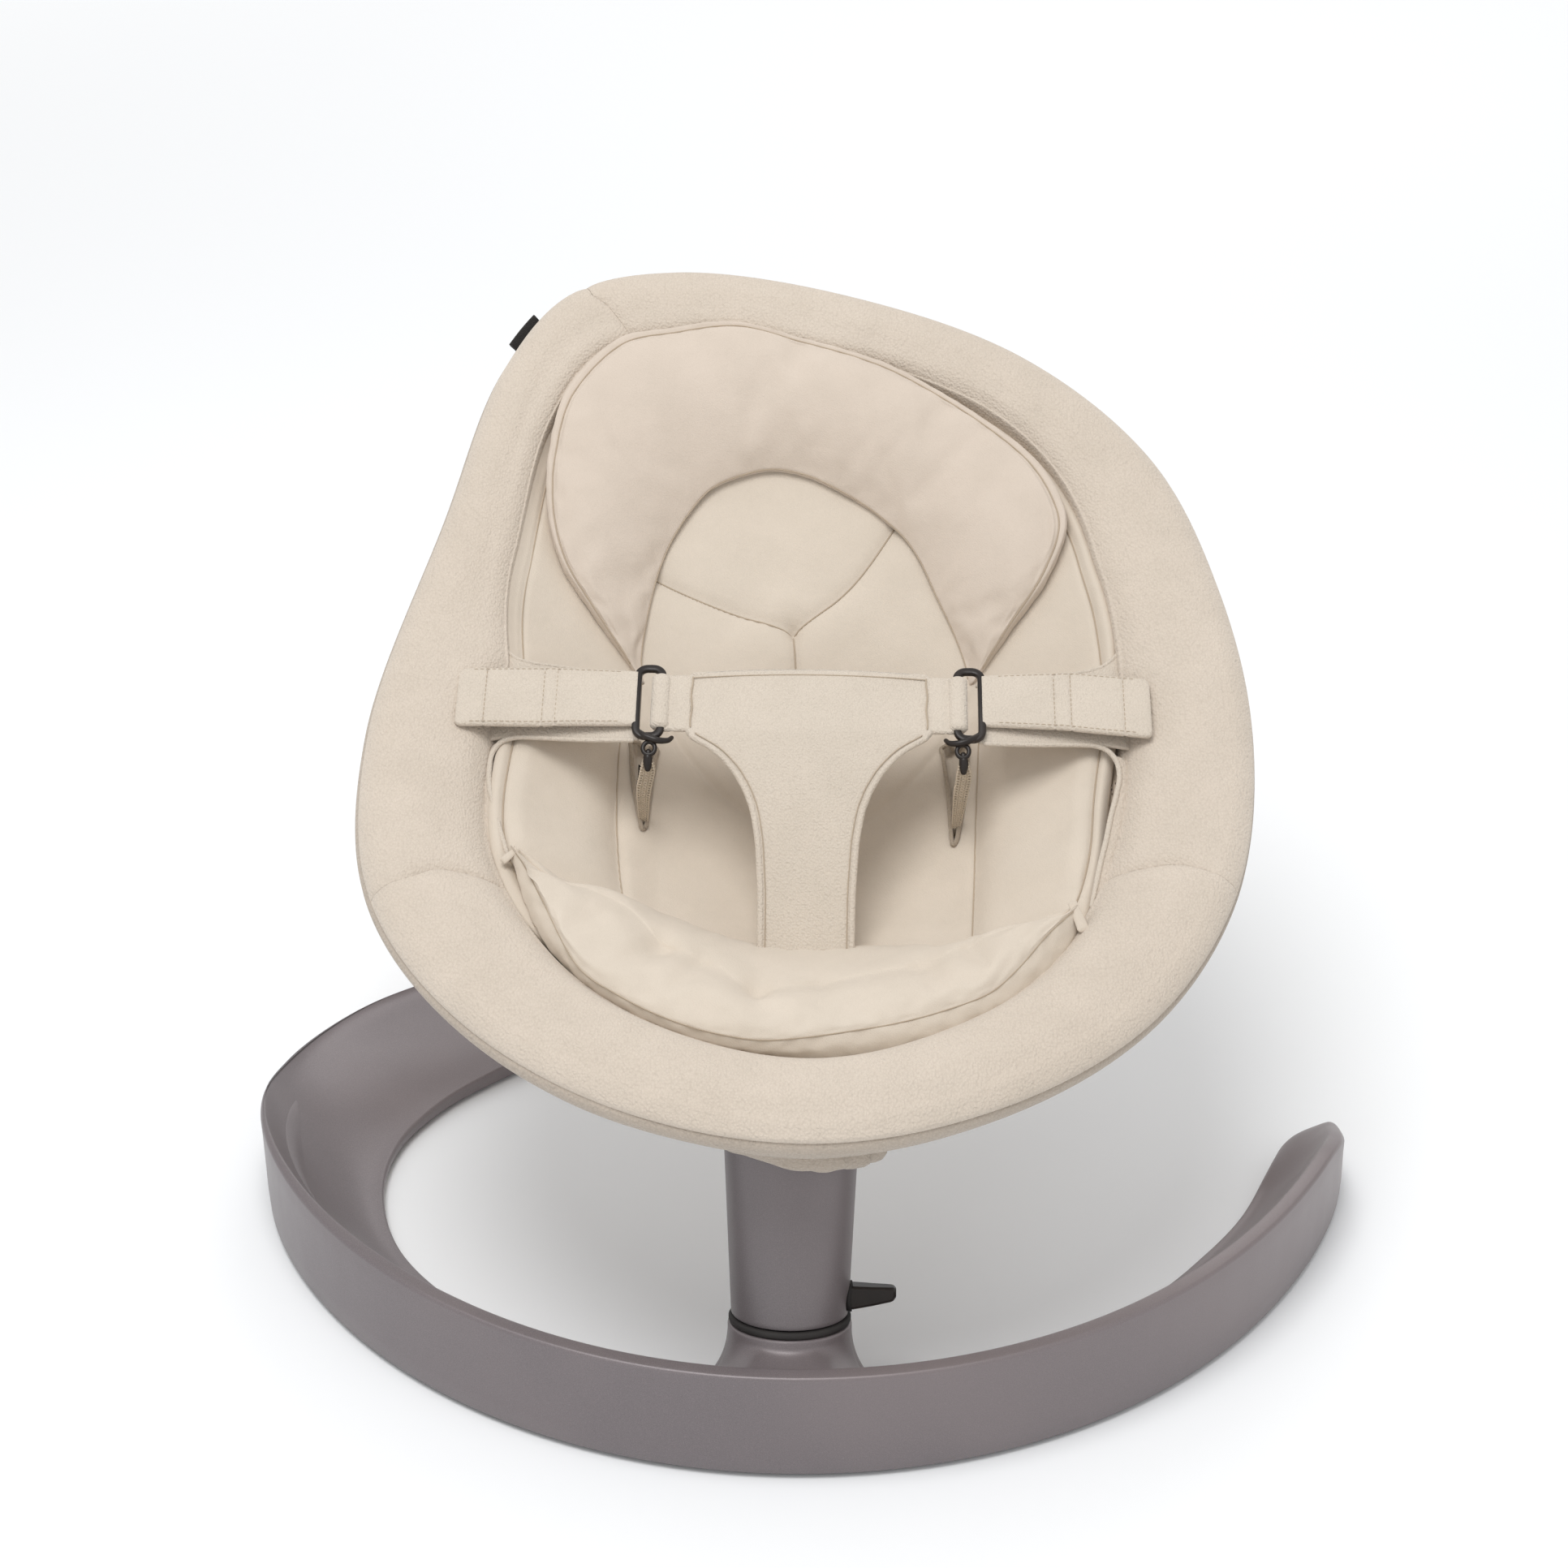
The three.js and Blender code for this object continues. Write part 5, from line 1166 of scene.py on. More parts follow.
def inset_edge(v0, v1, side, distance, count=90):
    """Line along one side of the insert, a distance in from its edge."""
    loop = BOWL_CENTRE + (INNER[:, :2] - BOWL_CENTRE) * layer_share[:, None]
    radius = np.linalg.norm(loop - BOWL_CENTRE, axis=1, keepdims=True)
    distance = distance + rim_lap(loop[:, :1], loop[:, 1:])
    line = BOWL_CENTRE + (loop - BOWL_CENTRE) * (radius - distance) / radius
    line = line[(side * line[:, 0] > 40) & (line[:, 1] > v0) & (line[:, 1] < v1)]
    line = line[np.argsort(line[:, 1])]
    return spline(line[:: max(1, len(line) // 24)], count)


# seam lines of the insert as tubes in the seam colour: thread plus painted shade of the grooves
seam_shade_tubes = [tube(on_insert(path, 0.5), 0.5, 6) for path in (
    Y_LEFT[:-6], Y_RIGHT[:-6], Y_STEM, WING_LEFT, WING_RIGHT, inset_edge(178, 500, -1, EDGE_SEAM),
    inset_edge(172, 480, 1, EDGE_SEAM))]
add_piece("insert_seams", merged(seam_shade_tubes), SEAM_SHADE_THREAD, "cream_quilt")

# bound slits that the tethers come out of
for label, path in (("left", SLIT_LEFT), ("right", SLIT_RIGHT)):
    t = np.linspace(0, 1, 40)
    v = mix(path[0, 1], path[-1, 1], t)
    u = across_at(path, v)
    half = 7.0 * np.power(1 - t, 0.75) + 0.6
    loop = np.concatenate([np.stack([u - half, v], 1), np.stack([u + half, v], 1)[::-1]])
    loop = spline(loop[::3], 110, closed=True)
    add_piece(f"slit_binding_{label}", tube(on_insert(loop, 0.4) + [0, 0, 1.0], 1.35, 8, closed=True), SLIT_BINDING,
              "cream_quilt")
    # dark sheet along the floor of each slit: painted shade inside the opening
    lines = [mix(u - half * 0.92, u + half * 0.92, k) for k in np.linspace(0, 1, 5)]
    shaded_floor = np.array([np.stack([line, v, sling_top(line, v) + 6.4], 1) for line in lines])
    faces = grid_faces(5, 40) + grid_faces(5, 40, start=200)
    add_piece(f"slit_painted_shade_{label}", (np.concatenate([shaded_floor, shaded_floor - [0, 0, 0.8]]), faces), SLIT_SHADE,
              "cream_quilt")


# ---------------------------------------------------------------- bolster
def spread(values, count):
    """A few values at equal steps along a line, as count values."""
    return np.interp(np.linspace(0, 1, count), np.linspace(0, 1, np.size(values)), np.ravel(values))


def lifted(path, lift, count):
    """A line over the bowl, lift millimetres above the sling; lift may vary along it."""
    line = spline(path, count)
    return np.column_stack([line, sling_top(line[:, 0], line[:, 1]) + spread(lift, count)])


def over_rim(path, up, count):
    """A line at a height over the rim line, which may vary along it."""
    line = spline(path, count)
    return np.column_stack([line, rim_line(line[:, 1]) + spread(up, count)])


def raised(height):
    """Moves straight up by each height."""
    return np.column_stack([np.zeros((len(height), 2)), height])


def strip_body(curves, base_lift=0.6):
    """Closed stuffed strip: the shaped top through the curves and a flat back close to the bowl."""
    top = through(curves, 3)
    back = through([curves[-1], 0.5 * (curves[0] + curves[-1]), curves[0]], 6)[1:-1]
    back[..., 2] = np.minimum(back[..., 2], sling_top(back[..., 0], back[..., 1]) + base_lift)
    return loft(np.concatenate([top, back]).transpose(1, 0, 2))


LOW = [(-164, 206), (-153, 171), (-141, 145), (-126, 125), (-111, 109), (-91, 94), (-70, 82), (-51, 74), (-31, 69),
       (-6, 67), (20, 68), (47, 73), (76, 83), (99, 95), (121, 113), (139, 138), (151, 163)]
SEAM = [(-164, 207), (-156, 195), (-143, 168), (-119, 119), (-99, 102), (-78, 89), (-55, 79), (-31, 73), (-19, 72),
        (0, 74), (26, 79), (51, 85), (75, 94), (98, 106), (113, 122), (131, 147), (149, 167)]
CROWN = [(-163, 207), (-148, 181), (-122, 142), (-100, 120), (-78, 107), (-52, 97), (-22, 88), (20, 93), (52, 101),
         (84, 113), (113, 137), (133, 155), (149, 168)]
VALLEY = [(-162, 208), (-131, 188), (-98, 172), (-80, 149), (-66, 141), (-47, 129), (-28, 113), (-11, 116),
          (19, 123), (49, 130), (72, 137), (95, 149), (122, 160), (149, 168.5)]
SHELF = [(-162, 209), (-132, 194), (-103, 185), (-84, 170), (-64, 161), (-44, 152), (-24, 142), (0, 142), (30, 145),
         (57, 149), (84, 155), (110, 162), (131, 166), (149, 169)]
UPPER = [(-163, 212), (-133, 205), (-104, 203), (-86, 199), (-64, 191), (-42, 183), (-20, 180), (0, 180),
         (30, 179), (57, 176), (84, 170), (110, 172), (131, 172), (148, 170)]
n = 170
place = np.linspace(0, 1, n)
ends = np.sin(math.pi * place) ** 0.5
low = over_rim(LOW, [-1, -3, -4, -4, -4, -4, -4, -4, -4, -3, -1, -1, -3, -2, 1], n)
seam_line = over_rim(SEAM, [3.4, 4.6, 5.8, 7, 8, 9, 9, 9, 9, 9, 9, 9, 8.4, 8, 8.4, 8.6, 8.6], n)
crown = over_rim(CROWN, [6, 9, 10, 11, 12, 12, 12, 11, 11, 11, 11, 10], n)
valley = lifted(VALLEY, [26, 34, 37, 38, 39, 39, 39, 39, 39, 39, 38, 34, 29], n)
shelf = lifted(SHELF, [27, 32, 35, 35, 35, 34, 34, 33, 33, 33, 32, 29], n)
upper = lifted(UPPER, [22, 21, 20, 20, 20, 20, 20, 20, 20, 20, 20, 21], n) - [0, 3, 0]
# puckers of the valley: place along it, width and depth
pucker = np.zeros(n)
for at, wide, deep in ((0.30, 0.024, 6.6), (0.37, 0.016, 3.6), (0.48, 0.022, 7.0), (0.58, 0.018, 2.8),
                       (0.74, 0.026, 5.0), (0.82, 0.018, 2.8)):
    pucker += deep * np.exp(-((place - at) / wide) ** 2)
valley[:, 2] -= 1.2 + pucker
crown[:, 2] += 0.5 * ends + 0.7 * np.sin(place * 31) * ends
along = np.gradient(low, axis=0)
outward = np.column_stack([along[:, 1], -along[:, 0], 0 * place])
outward /= np.linalg.norm(along[:, :2], axis=1, keepdims=True)
roll_curves = [
    low + [0, 4, -9], low + [0, 1.2, -2.6], low,
    0.5 * low + 0.5 * seam_line + outward * 1.6 * ends[:, None] + raised(0.6 * ends),
    seam_line,
    0.74 * seam_line + 0.26 * crown + outward * 0.8 * ends[:, None] + raised(1.5 * ends),
    crown,
    0.5 * (crown + valley) + raised(3.2 * ends - 0.4 * pucker),
    0.2 * crown + 0.8 * valley + raised(1.2 * ends - 0.5 * pucker),
    valley,
    0.72 * valley + 0.28 * shelf + raised(1.4 * ends),
    shelf, upper, upper + np.array([0, 2.5, 0]) - raised(3 + 7 * ends),
]
roll_shape = strip_body([curve[::2] for curve in roll_curves])
bolster = add_piece("bolster_roll", roll_shape, JERSEY, "cream_quilt", "bolster", fill=0.7)
sewn = [roll_curves[k] for k in (0, 1, 2, 3, 4, 5, 12, 13)]
swell(bolster, to_row(on_seat(np.vstack(sewn))), 4.0, 0.03, 0.003)
# flat sewn tabs beyond the two tips
tabs = []
for k, (du, dv), wide in ((2, (-6.5, -5.5), 2.5), (-3, (4.5, -12.5), 3.4)):
    way = np.array([du, dv, -2.0])
    across = np.array([-dv, du, 0]) / math.hypot(du, dv)
    start = seam_line[k] - way * 0.35 - [0, 0, 1.2]
    sections = []
    for t in np.linspace(0, 1, 22):
        ease = math.sqrt(max(0.02, 1 - max(0, (t - 0.86) / 0.14) ** 2))
        half, thick = wide * (0.75 + 0.25 * t) * (0.5 + 0.5 * ease), 1.1 * ease
        a = full_turn(22)
        sections.append(start + way * 1.35 * t + across * (half * np.cos(a))[:, None]
                        + np.outer(thick * np.sin(a), [0, 0, 1]))
    tabs.append(loft(np.array(sections)))
add_piece("bolster_tips", merged(tabs), JERSEY, "cream_quilt", fill=0.3)
# thin tube along the bolster's seam in the seam colour: thread plus painted shade of its groove
bolster_seam_shade = tube(seam_line[3:-3] + outward[3:-3] * 0.2, 0.36, 6)
add_piece("bolster_seam", bolster_seam_shade, SEAM_SHADE_THREAD, "cream_quilt")

# ---------------------------------------------------------------- head pillow
OUTER = [(-100, 357), (-111, 371), (-131, 395), (-149, 419), (-157, 441), (-160, 461), (-160, 486), (-151, 530),
         (-122, 565), (-88, 573), (-50, 576), (-8, 565), (28, 554), (54, 543), (102, 513), (134, 483), (148, 457),
         (151, 439), (140, 413), (117, 385), (95, 356)]
ARCH = [(-99, 357), (-101, 372), (-99, 398), (-92, 434), (-81, 461), (-63, 485), (-43, 494), (-25, 497), (-5, 493),
        (12, 485), (33, 472), (53, 455), (64, 440), (75, 416), (86, 390), (92, 370), (94, 356)]
n = 220
place = np.linspace(0, 1, n)
ends = np.sin(math.pi * place) ** 0.45
outer_line = spline(OUTER, n)
arch_line = spline(ARCH, n)


def pillow_curve(share, lift):
    """A line between the arch at 0 and the outer edge at 1, above the bowl."""
    line = mix(arch_line, outer_line, share)
    height = 13.5 + (lift - 13.5) * ends
    return np.column_stack([line, sling_top(line[:, 0], line[:, 1]) + height])


pillow_curves = [pillow_curve(*k) for k in (
    (0.055, 14.0), (0.0, 16.4), (-0.01, 20.0), (0.036, 26.4), (0.14, 33.6), (0.31, 39.6), (0.5, 42.5), (0.7, 41.0),
    (0.84, 38.5), (0.905, 35.8), (0.935, 33.0), (0.968, 32.4), (0.995, 29.5), (1.0, 22.0), (0.98, 16.0))]
for curve in pillow_curves[4:9]:
    curve[:, 2] += waves(curve[:, 0], curve[:, 1], 21, 110, 1.0) * ends
pillow_shape = strip_body([curve[::2] for curve in pillow_curves], 15.0)
pillow = add_piece("head_pillow_stuffed", pillow_shape, PILLOW_KNIT, "cream_quilt", "head_pillow", fill=0.65)
sewn = [pillow_curves[k] for k in (0, 1, 2, 9, 10, 11, 12, 13, 14)]
swell(pillow, to_row(on_seat(np.vstack(sewn))), 4.0, 0.02, 0.0025)
gusset = pillow_curves[10]
arch_edge = pillow_curves[2]
# seam tubes along the gusset and the arch: thread plus painted shade of the creases
add_piece("pillow_seams", merged([tube(gusset[4:-4] + [0, 0, 0.25], 0.5, 6), tube(arch_edge[4:-4], 0.45, 6)]),
          SEAM_SHADE_THREAD, "cream_quilt")


# ---------------------------------------------------------------- harness
BELT_V = 305.0
BELT_W = -23.0
RING_U = 91.0


def slab(centre_line, low_v, high_v, thickness, rounding=8, cross=26):
    """Padded strip across the seat with rounded long edges: one section per station.

    centre_line gives (across, height); low_v and high_v the two edges; all along the strip."""
    t = np.linspace(0, math.pi, rounding)
    rows = []
    for (u, w), a, b in zip(centre_line, low_v, high_v):
        h = thickness / 2
        inner = np.linspace(a + h, b - h, cross)
        crown = 0.5 * np.sin(math.pi * (inner - a) / (b - a))
        top = np.column_stack([inner, w + h + crown])
        bottom = np.column_stack([inner[::-1], np.full(cross, w - h)])
        right = np.column_stack([b - h + h * np.sin(t), w + h * np.cos(t)])[1:-1]
        left = np.column_stack([a + h - h * np.sin(t), w - h * np.cos(t)])[1:-1]
        ring = np.vstack([top, right, bottom, left])
        rows.append(np.column_stack([np.full(len(ring), u), ring]))
    return np.array(rows)


def groove(rows, at_u, depth, width):
    """Sewn line across a strip: both faces are drawn in."""
    u = rows[..., 0]
    middle = rows[..., 2].mean(1, keepdims=True)
    pull = depth * np.exp(-((u - at_u) / width) ** 2)
    rows[..., 2] -= np.sign(rows[..., 2] - middle) * np.minimum(pull, np.abs(rows[..., 2] - middle))


# crotch pad: outline as half widths up the seat, then the bar across
PAD_ROWS = np.array([
    [158, 26.6], [167, 26.2], [195, 26.4], [222, 28.2], [238, 31], [250, 35.5], [261, 42], [271, 51], [277, 59],
    [281, 67.2], [283.5, 69.5], [286, 69.8], [300, 70.0], [315, 69.8], [321, 69.4], [324.2, 67.8]])
root_v = 158.0
root_w = float(sling_top(np.array(0.0), np.array(root_v))) + 19.0


def pad_w(u, v):
    """Height of the pad's middle surface."""
    t = np.clip((v - root_v) / (BELT_V - 20.5 - root_v), 0, 1)
    drop = mix(root_w, BELT_W, 1 - (1 - t) ** 1.25)
    return drop + 1.6 * np.cos(np.clip(np.abs(u) / 75, 0, 1) * math.pi / 2) * smooth(t * 1.4 - 0.3)


v_line = np.concatenate([np.linspace(root_v, 240, 42), np.linspace(242, 286, 34), np.linspace(288, 324.2, 24)])
half_line = evened(np.interp(v_line, PAD_ROWS[:, 0], PAD_ROWS[:, 1]))
PAD_T = 2.4
BEAD_R = 2.5
pad_rows = []
edge_t = np.linspace(0, math.pi, 9)
share_line = np.linspace(-1, 1, 46)
for v, half in zip(v_line, half_line):
    u = share_line * (half - PAD_T)
    arch = 2.6 * (1 - (u / 78) ** 2) * smooth((v - 285) / 39)
    face_w = pad_w(u, v) + PAD_T * (0.86 + 0.35 * (1 - share_line ** 4))
    back_w = pad_w(u, v) - PAD_T * 0.8
    face = np.column_stack([u, v + arch, face_w])
    back = np.column_stack([u, v + arch, back_w])[::-1]
    centre = pad_w(np.array([half]), v)[0]
    right, left = (np.column_stack([sgn * (half - PAD_T + (PAD_T + 0.5) * np.sin(edge_t)),
                                    np.full(9, v), centre + sgn * BEAD_R * np.cos(edge_t)])[1:-1] for sgn in (1, -1))
    pad_rows.append(np.vstack([face, right, back, left]))
add_piece("crotch_pad_sewn", loft(pad_rows), HARNESS_KNIT, "cream_knit", "crotch_pad", fill=0.3)


def pad_edge(inset, side, top_v):
    """Line along one side of the pad from its root up to top_v, inset millimetres in from the edge."""
    v = np.linspace(159, top_v, 90)
    u = side * (np.interp(v, v_line, half_line) - inset)
    return np.column_stack([u, v, pad_w(u, v) + PAD_T])


binding, binding_seam = [], []
for side in (-1, 1):
    binding.append(tube(pad_edge(1.0, side, 281.5) - [0, 0, 1.6], 2.0, 10))
    binding_seam.append(tube(pad_edge(3.6, side, 282) + [0, 0, 0.25], 0.35, 6))
top_u = np.linspace(-66, 66, 60)
top_edge = np.column_stack([top_u, 323.6 + 2.6 * (1 - (top_u / 78) ** 2), pad_w(top_u, 323.6) + 0.8])
binding.append(tube(top_edge, 1.7, 10))
binding_seam.append(tube(top_edge + [0, -3.4, 2.2], 0.32, 6))
wave_v = np.linspace(286.5, 321.5, 40)
for side in (-1, 1):
    wave_u = side * (66.8 + 0.35 * np.sin(wave_v * 0.33))
    binding_seam.append(tube(np.column_stack([wave_u, wave_v, pad_w(side * 66.8, wave_v) + 2.75]), 0.5, 6))
add_piece("crotch_pad_binding", merged(binding), HARNESS_KNIT, "cream_knit")
# stitching in the seam colour: thread plus painted shade of the sewn lines
add_piece("crotch_pad_stitching", merged(binding_seam), SEAM_SHADE_THREAD, "cream_knit")


def rounded_loop(width, length, corner):
    """Rounded rectangle about the origin."""
    w, l = width / 2 - corner, length / 2 - corner
    out = []
    for cx, cy, a0 in ((w, l, 0), (-w, l, 90), (-w, -l, 180), (w, -l, 270)):
        a = np.radians(np.linspace(a0, a0 + 90, 12))
        out.append(np.column_stack([cx + corner * np.cos(a), cy + corner * np.sin(a)]))
    return spline(np.vstack(out), 120, closed=True)


def flat_bar(path, wide, high):
    """Closed bar with a flat rounded section that lies in the seat plane."""
    along, _, _ = path_frames(path, True)
    up = np.array([0, 0, 1.0])
    out = np.cross(along, up)
    out /= np.linalg.norm(out, axis=1, keepdims=True)
    a = full_turn(20)
    ca, sa = np.cos(a), np.sin(a)
    x = np.sign(ca) * np.abs(ca) ** 0.55 * wide / 2
    z = np.sign(sa) * np.abs(sa) ** 0.55 * high / 2
    return loft(path[:, None] + out[:, None] * x[:, None] + up * z[:, None], True)


# what differs between the harness's two sides: millimetres out from the middle, and what holds there
WAIST = {
    "left": {
        "side": -1,
        "root_low": ([96, 140, 170, 190], [281, 283.5, 286, 286]),
        "root_high": [322, 330, 336, 339, 343, 349, 360, 372],
        "opening": [(-100, 281.2), (-130, 283), (-155, 285.5), (-168, 286), (-175, 283.5), (-179.5, 277),
                    (-180.5, 266), (-179.5, 254), (-176, 240), (-171, 222), (-165, 204)],
        "flap_end": 200.5,
        "flap_low": ([98, 140, 150, 200], [288.0, 287.0, 286.4, 285.6]),
        "flap_high": ([98, 150, 200], [326.4, 327.8, 326.0]),
        "flap_lines": (184.5, 151.5, 144),
        "hook_u": 90.0,
        "slit": SLIT_LEFT,
    },
    "right": {
        "side": 1,
        "root_low": ([96, 140, 162, 190], [281, 282.5, 284, 284]),
        "root_high": [322, 328, 333, 337, 342, 349, 360, 372],
        "opening": [(100, 281.2), (128, 282.5), (150, 284), (162, 284), (169, 281.5), (174, 275.5),
                    (175.5, 266), (173, 252), (169.5, 238), (165.8, 220), (161.5, 202), (158.2, 186),
                    (155.5, 174)],
        "flap_end": 193.5,
        "flap_low": ([98, 145, 194], [290.0, 287.4, 281.5]),
        "flap_high": ([98, 150, 194], [325.6, 327.8, 322.8]),
        "flap_lines": (178.5, 148.5, 139),
        "hook_u": 87.0,
        "slit": SLIT_RIGHT,
    },
}
# the root straps from the rings out into the rim's band: distance out, and height of the strap there
ROOT_OUT = np.linspace(RING_U + 5, 190, 64)
ROOT_W = (BELT_W - np.interp(ROOT_OUT, [96, 130, 160, 172, 180, 190], [3.4, 5.2, 7.6, 9.4, 11.5, 16.0])
          - 1.1 * np.sin(np.clip((ROOT_OUT - 96) / 88, 0, 1) * math.pi))
FLAP_T = 4.0
FLAP_ROUND = 4


def waist_ring(label, side):
    """Ring of flat bar, a little higher in the middle."""
    loop = rounded_loop(14.0, 48.0, 5.6)
    path = np.column_stack([loop, 0.9 * np.cos(loop[:, 1] / 24.5 * math.pi / 2)])
    bar = flat_bar(path + np.array([side * RING_U, BELT_V, BELT_W + 0.6]), 4.4, 3.6)
    add_piece(f"ring_bar_{label}", bar, DARK_NYLON, "dark_nylon", f"ring_{label}")


def pad_end(label, side):
    """The pad's end, folded round the ring's inner bar, and the short tab between the pad and the fold."""
    inner = side * (RING_U - 6.4)
    a = full_turn(28)
    rows = []
    for v in np.linspace(286.2, 323.4, 20):
        soft = 0.6 + 0.4 * min(1, (v - 285.6) / 2.5, (324 - v) / 2.5)
        rows.append(np.column_stack([inner + 5.4 * soft * np.cos(a), np.full(28, v),
                                     BELT_W + 1.0 + 4.2 * soft * np.sin(a)]))
    add_piece(f"pad_end_fold_{label}", loft(rows), HARNESS_KNIT, "cream_knit")
    centre = np.column_stack([np.linspace(66.5, RING_U - 8, 10) * side, np.full(10, BELT_W + 0.2)])
    tab = slab(centre, np.full(10, 285.0), np.full(10, 324.4), 3.6)
    groove(tab, side * (RING_U - 13.2), 0.8, 0.7)
    add_piece(f"pad_end_tab_{label}", loft(tab), HARNESS_KNIT, "cream_knit")


def root_strap(label, own):
    """Strap from the ring out into the rim's band; gives back the line of its upper edge."""
    out = own["side"] * ROOT_OUT
    low_v = evened(np.interp(ROOT_OUT, *own["root_low"]))
    high_v = evened(np.interp(ROOT_OUT, [96, 120, 144, 160, 170, 176, 183, 190], own["root_high"]))
    strap = slab(np.column_stack([out, ROOT_W]), low_v, high_v, 2.6)
    add_piece(f"waist_root_{label}", loft(strap), HARNESS_KNIT, "cream_knit", f"waist_strap_{label}")
    return np.column_stack([out, high_v - 0.6, ROOT_W + 0.5])


def cover_opening(label, corner_line):
    """The cover's bound opening: on from the strap's lower edge, round a corner and down beside the wing."""
    line = spline(corner_line, 130)
    out = np.abs(line[:, 0])
    past = smooth((283 - line[:, 1]) / 14) * (out > 150)
    height = mix(np.interp(out, ROOT_OUT, ROOT_W), rim_line(line[:, 1]) - 4.5, past) + 0.4
    line = np.column_stack([line, height])
    radius = np.interp(np.linspace(0, 1, 130), [0, 0.9, 1], [1.5, 1.6, 1.0])
    add_piece(f"root_binding_{label}", tube(line, radius, 10), HARNESS_KNIT, "cream_knit")
    # web of cover fabric between the bound edge and the rim's band
    near = line[52:]
    grown = np.maximum(1.03, 1.035 / bowl_share(near[:, 0], near[:, 1]))
    far = BOWL_CENTRE + (near[:, :2] - BOWL_CENTRE) * grown[:, None]
    far = np.column_stack([far, rim_line(far[:, 1]) - 9.5])
    shares = np.linspace(0, 1, 9)[:, None, None]
    web = near * (1 - shares) + far * shares
    web[..., 2] += 1.4 * np.sin(shares[..., 0] * math.pi)
    sheet = np.concatenate([web, web[::-1] - [0, 0, 1.8]]).transpose(1, 0, 2)
    opening_web = add_piece(f"opening_web_{label}", loft(sheet), RIM_KNIT, "cream_knit")


def waist_flap(label, own):
    """Fold-over flap with its sewn lines and rounded free end."""
    side, tip = own["side"], own["flap_end"] - FLAP_ROUND
    out = np.concatenate([np.linspace(RING_U + 7.2, tip, 90), tip + FLAP_ROUND * np.sin(np.linspace(0.15, 1.5, 9))])
    ease = np.sqrt(np.clip(1 - (np.clip(out - tip, 0, FLAP_ROUND) / FLAP_ROUND) ** 2, 0.05, 1))
    low_v, high_v = np.interp(out, *own["flap_low"]), np.interp(out, *own["flap_high"])
    middle, half = (low_v + high_v) / 2, (high_v - low_v) / 2 - 3.2 * (1 - ease)
    heights = (BELT_W + 0.9 + 0.9 * np.sin(np.clip((out - 98) / 100, 0, 1) * math.pi)
               + 1.6 * smooth((out - 150) / 50))
    flap = slab(np.column_stack([side * out, heights]), middle - half, middle + half, FLAP_T)
    thin = 0.35 + 0.65 * ease
    flap[..., 2] = heights[:, None] + (flap[..., 2] - heights[:, None]) * thin[:, None]
    for at in own["flap_lines"]:
        groove(flap, side * at, 0.9, 0.8)
    add_piece(f"waist_flap_sewn_{label}", loft(flap), HARNESS_KNIT, "cream_knit", f"waist_flap_{label}",
              body=f"waist_flap_{label}", fill=0.15)
    marks = []
    for at in own["flap_lines"]:
        k = int(np.argmin(np.abs(out - at)))
        v = np.linspace(low_v[k] + 2, high_v[k] - 2, 30)
        arched = 0.5 * np.sin(math.pi * (v - low_v[k]) / (high_v[k] - low_v[k]))
        line = np.column_stack([np.full(30, side * at), v, heights[k] + 2.0 - 0.72 + arched])
        marks.append(stitches(line, 2.2, 1.1, 0.3))
    for edge_v, inward in ((low_v, 1.8), (high_v, -1.8)):
        line = np.column_stack([side * out[8:-12], edge_v[8:-12] + inward, heights[8:-12] + 2.1])
        marks.append(stitches(line, 2.2, 1.2, 0.26))
    # stitches in the seam colour: thread plus painted shade of the sewn lines
    add_piece(f"flap_stitching_{label}", merged(marks), SEAM_SHADE_THREAD, "cream_knit", body=f"waist_flap_{label}")


def waist_hook(label, side, hook_u):
    """Hook: a bent wire from the ring's lower end to the tether's eye, and the barrel under the eye."""
    bend = spline([(side * u, v, BELT_W + w) for u, v, w in (
        (96.5, 284.0, 0.5), (92, 280.2, 1.6), (85, 277.8, 1.2), (79.5, 279.0, -0.4), (77.5, 282.0, -2.0))], 40)
    eye_ring = [(side * hook_u + 3.4 * math.cos(a), 274.2 + 3.9 * math.sin(a), BELT_W - 1.6 + 0.8 * math.sin(a))
                for a in full_turn(40)]
    barrel = spline([(side * (hook_u + u), v, BELT_W - w) for u, v, w in (
        (0.2, 272.4, 2.6), (0.5, 268.2, 5.0), (0.5, 264.5, 7.6))], 14)
    shape = merged([tube(bend, np.interp(np.linspace(0, 1, 40), [0, 0.5, 1], [1.9, 2.1, 1.3]), 12),
                    tube(eye_ring, 1.35, 10, closed=True),
                    tube(barrel, np.interp(np.linspace(0, 1, 14), [0, 0.3, 0.7, 1], [1.8, 2.7, 2.7, 1.9]), 12)])
    add_piece(f"hook_clip_{label}", shape, DARK_NYLON, "dark_nylon", f"hook_{label}")


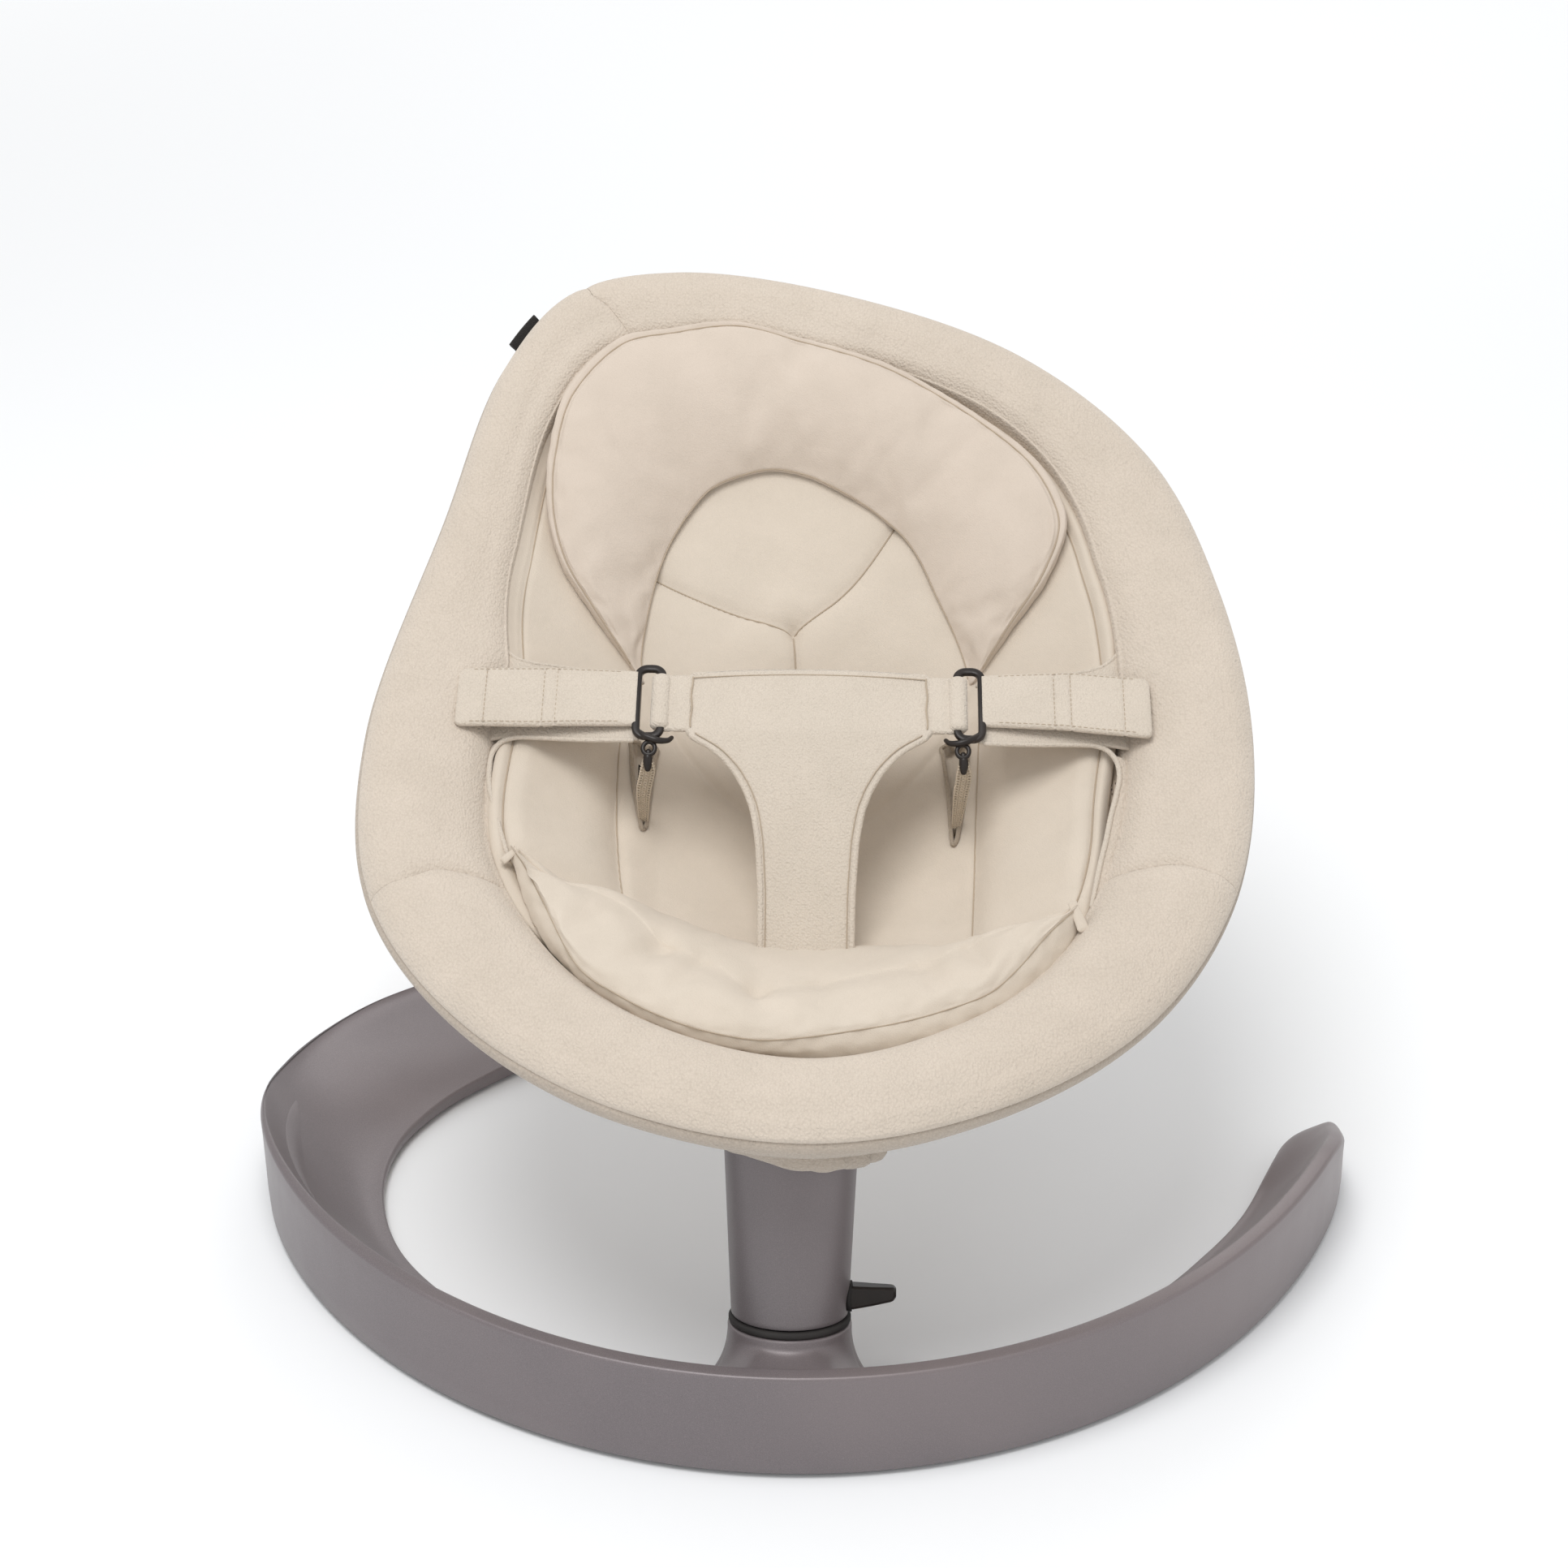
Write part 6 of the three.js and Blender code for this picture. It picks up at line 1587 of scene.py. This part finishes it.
def waist_tether(label, side, hook_u, slit):
    """Tether: a knitted strip that narrows from the hook into the slit, chain stitched down both faces."""
    foot_u = float(across_at(slit, 266))
    foot_w = float(sling_top(np.array([foot_u]), np.array([266.0]))[0]) + 7
    line = spline([(side * (hook_u + 0.5), 268, BELT_W - 5.5), (side * (hook_u + 1), 267.0, BELT_W - 14),
                   (foot_u * 0.5 + side * (hook_u + 2) / 2, 266, BELT_W - 30), (foot_u, 266, foot_w)], 46)
    wide = np.interp(np.linspace(0, 1, 46), [0, 0.12, 0.4, 1], [2.6, 4.3, 4.1, 1.8])
    a = full_turn(24)
    stitched = [loft([np.column_stack([p[0] + half * np.cos(a), p[1] + 1.3 * np.sin(a), np.full(24, p[2])])
                      for p, half in zip(line, wide)])]
    run = run_along(line)
    a = full_turn(12)
    for at in np.arange(1.2, run[-1], 2.3):
        p = sampled(line, run, at)
        half = float(np.interp(at, run, wide))
        for column in (-0.75, 0, 0.75):
            for face in (-1, 1):
                loop = np.column_stack([column * half * 0.95 + 0.24 * half * np.cos(a), np.full(12, face * 1.4),
                                        1.35 * np.sin(a) + 0.5 * np.abs(np.cos(a))])
                stitched.append(tube(p + loop, 0.42, 6, closed=True))
    add_piece(f"tether_braid_{label}", merged(stitched), TETHER_KNIT, "cream_quilt", f"tether_{label}")


for label, own in WAIST.items():
    waist_ring(label, own["side"])
    pad_end(label, own["side"])
    upper_line = root_strap(label, own)
    cover_opening(label, own["opening"])
    add_piece(f"root_edge_{label}", tube(upper_line[:58], 1.35, 8), HARNESS_KNIT, "cream_knit")
    waist_flap(label, own)
    waist_hook(label, own["side"], own["hook_u"])
    waist_tether(label, own["side"], own["hook_u"], own["slit"])

# ---------------------------------------------------------------- small black tag sewn in the rim's edge
tag_at = nearest_station(-182, 580)
tag_span = np.linspace(-12.5, 12.5, 26) / STATION_MM
tag_rows = []
for x in np.linspace(0, 1, 18):
    inward = 1.5 - 14.5 * x
    thick = 0.95 * math.sqrt(max(0.03, 1 - max(0, (x - 0.85) / 0.15) ** 2))
    face, back = (rim_at(tag_at + tag_span, lambda b: inward + 0 * b, -1.0 - 2.4 * x * x + up)
                  for up in (thick, -thick))
    tag_rows.append(np.vstack([face, back[::-1]]))
add_piece("side_tag", loft(tag_rows), WEBBING, "black_webbing", "edge_tag")


# ---------------------------------------------------------------- CAD nodes that keep their own shape
KEPT = {
    STEEL: ["sway_spindle", "spindle_nut", "spindle_bolt", "brake_disc", "lever_pivot_pin", "recline_pin",
            "recline_quadrant", "recline_latch", "recline_lever_pin"],
    BEARING_NYLON: ["lower_bearing", "upper_bearing", "hub_yoke", "seat_bracket"],
    DARK_NYLON: ["recline_lever"],
    RUBBER: ["brake_shoe"] + [f"foot_pad_{k}" for k in range(1, 7)],
    ALLOY: ["seat_frame_hoop", "seat_arm_left", "seat_arm_right", "foot_strut"],
}
for material, names in KEPT.items():
    for name in names:
        kept = frame["nodes"][name]
        for index in range(len(kept.material_slots)):
            kept.material_slots[index].link = "OBJECT"
            kept.material_slots[index].material = material

# ---------------------------------------------------------------- floor
floor_mesh = bpy.data.meshes.new("floor")
floor_mesh.from_pydata([(-14, -6, 0), (14, -6, 0), (14, 22, 0), (-14, 22, 0)], [], [(0, 1, 2, 3)])
floor = bpy.data.objects.new("floor", floor_mesh)
floor_shader = Shader("studio_floor", 0.9)
floor_shader.bsdf.inputs["Base Color"].default_value = (0.945, 0.958, 0.972, 1)
nodes, links = floor_shader.mat.node_tree.nodes, floor_shader.mat.node_tree.links
# the floor glows by itself away from the object, as a lit backdrop does: metres from the origin, and strength
place = nodes.new("ShaderNodeNewGeometry")
far = nodes.new("ShaderNodeVectorMath")
far.operation = "LENGTH"
glow = nodes.new("ShaderNodeMapRange")
glow.interpolation_type = "SMOOTHSTEP"
for socket, value in (("From Min", 1.3), ("From Max", 5.0), ("To Min", 0.0), ("To Max", 0.55)):
    glow.inputs[socket].default_value = value
links.new(place.outputs["Position"], far.inputs[0])
links.new(far.outputs["Value"], glow.inputs["Value"])
links.new(glow.outputs["Result"], floor_shader.bsdf.inputs["Emission Strength"])
floor_shader.bsdf.inputs["Emission Color"].default_value = WHITE
floor_mesh.materials.append(floor_shader.mat)
scene.collection.objects.link(floor)
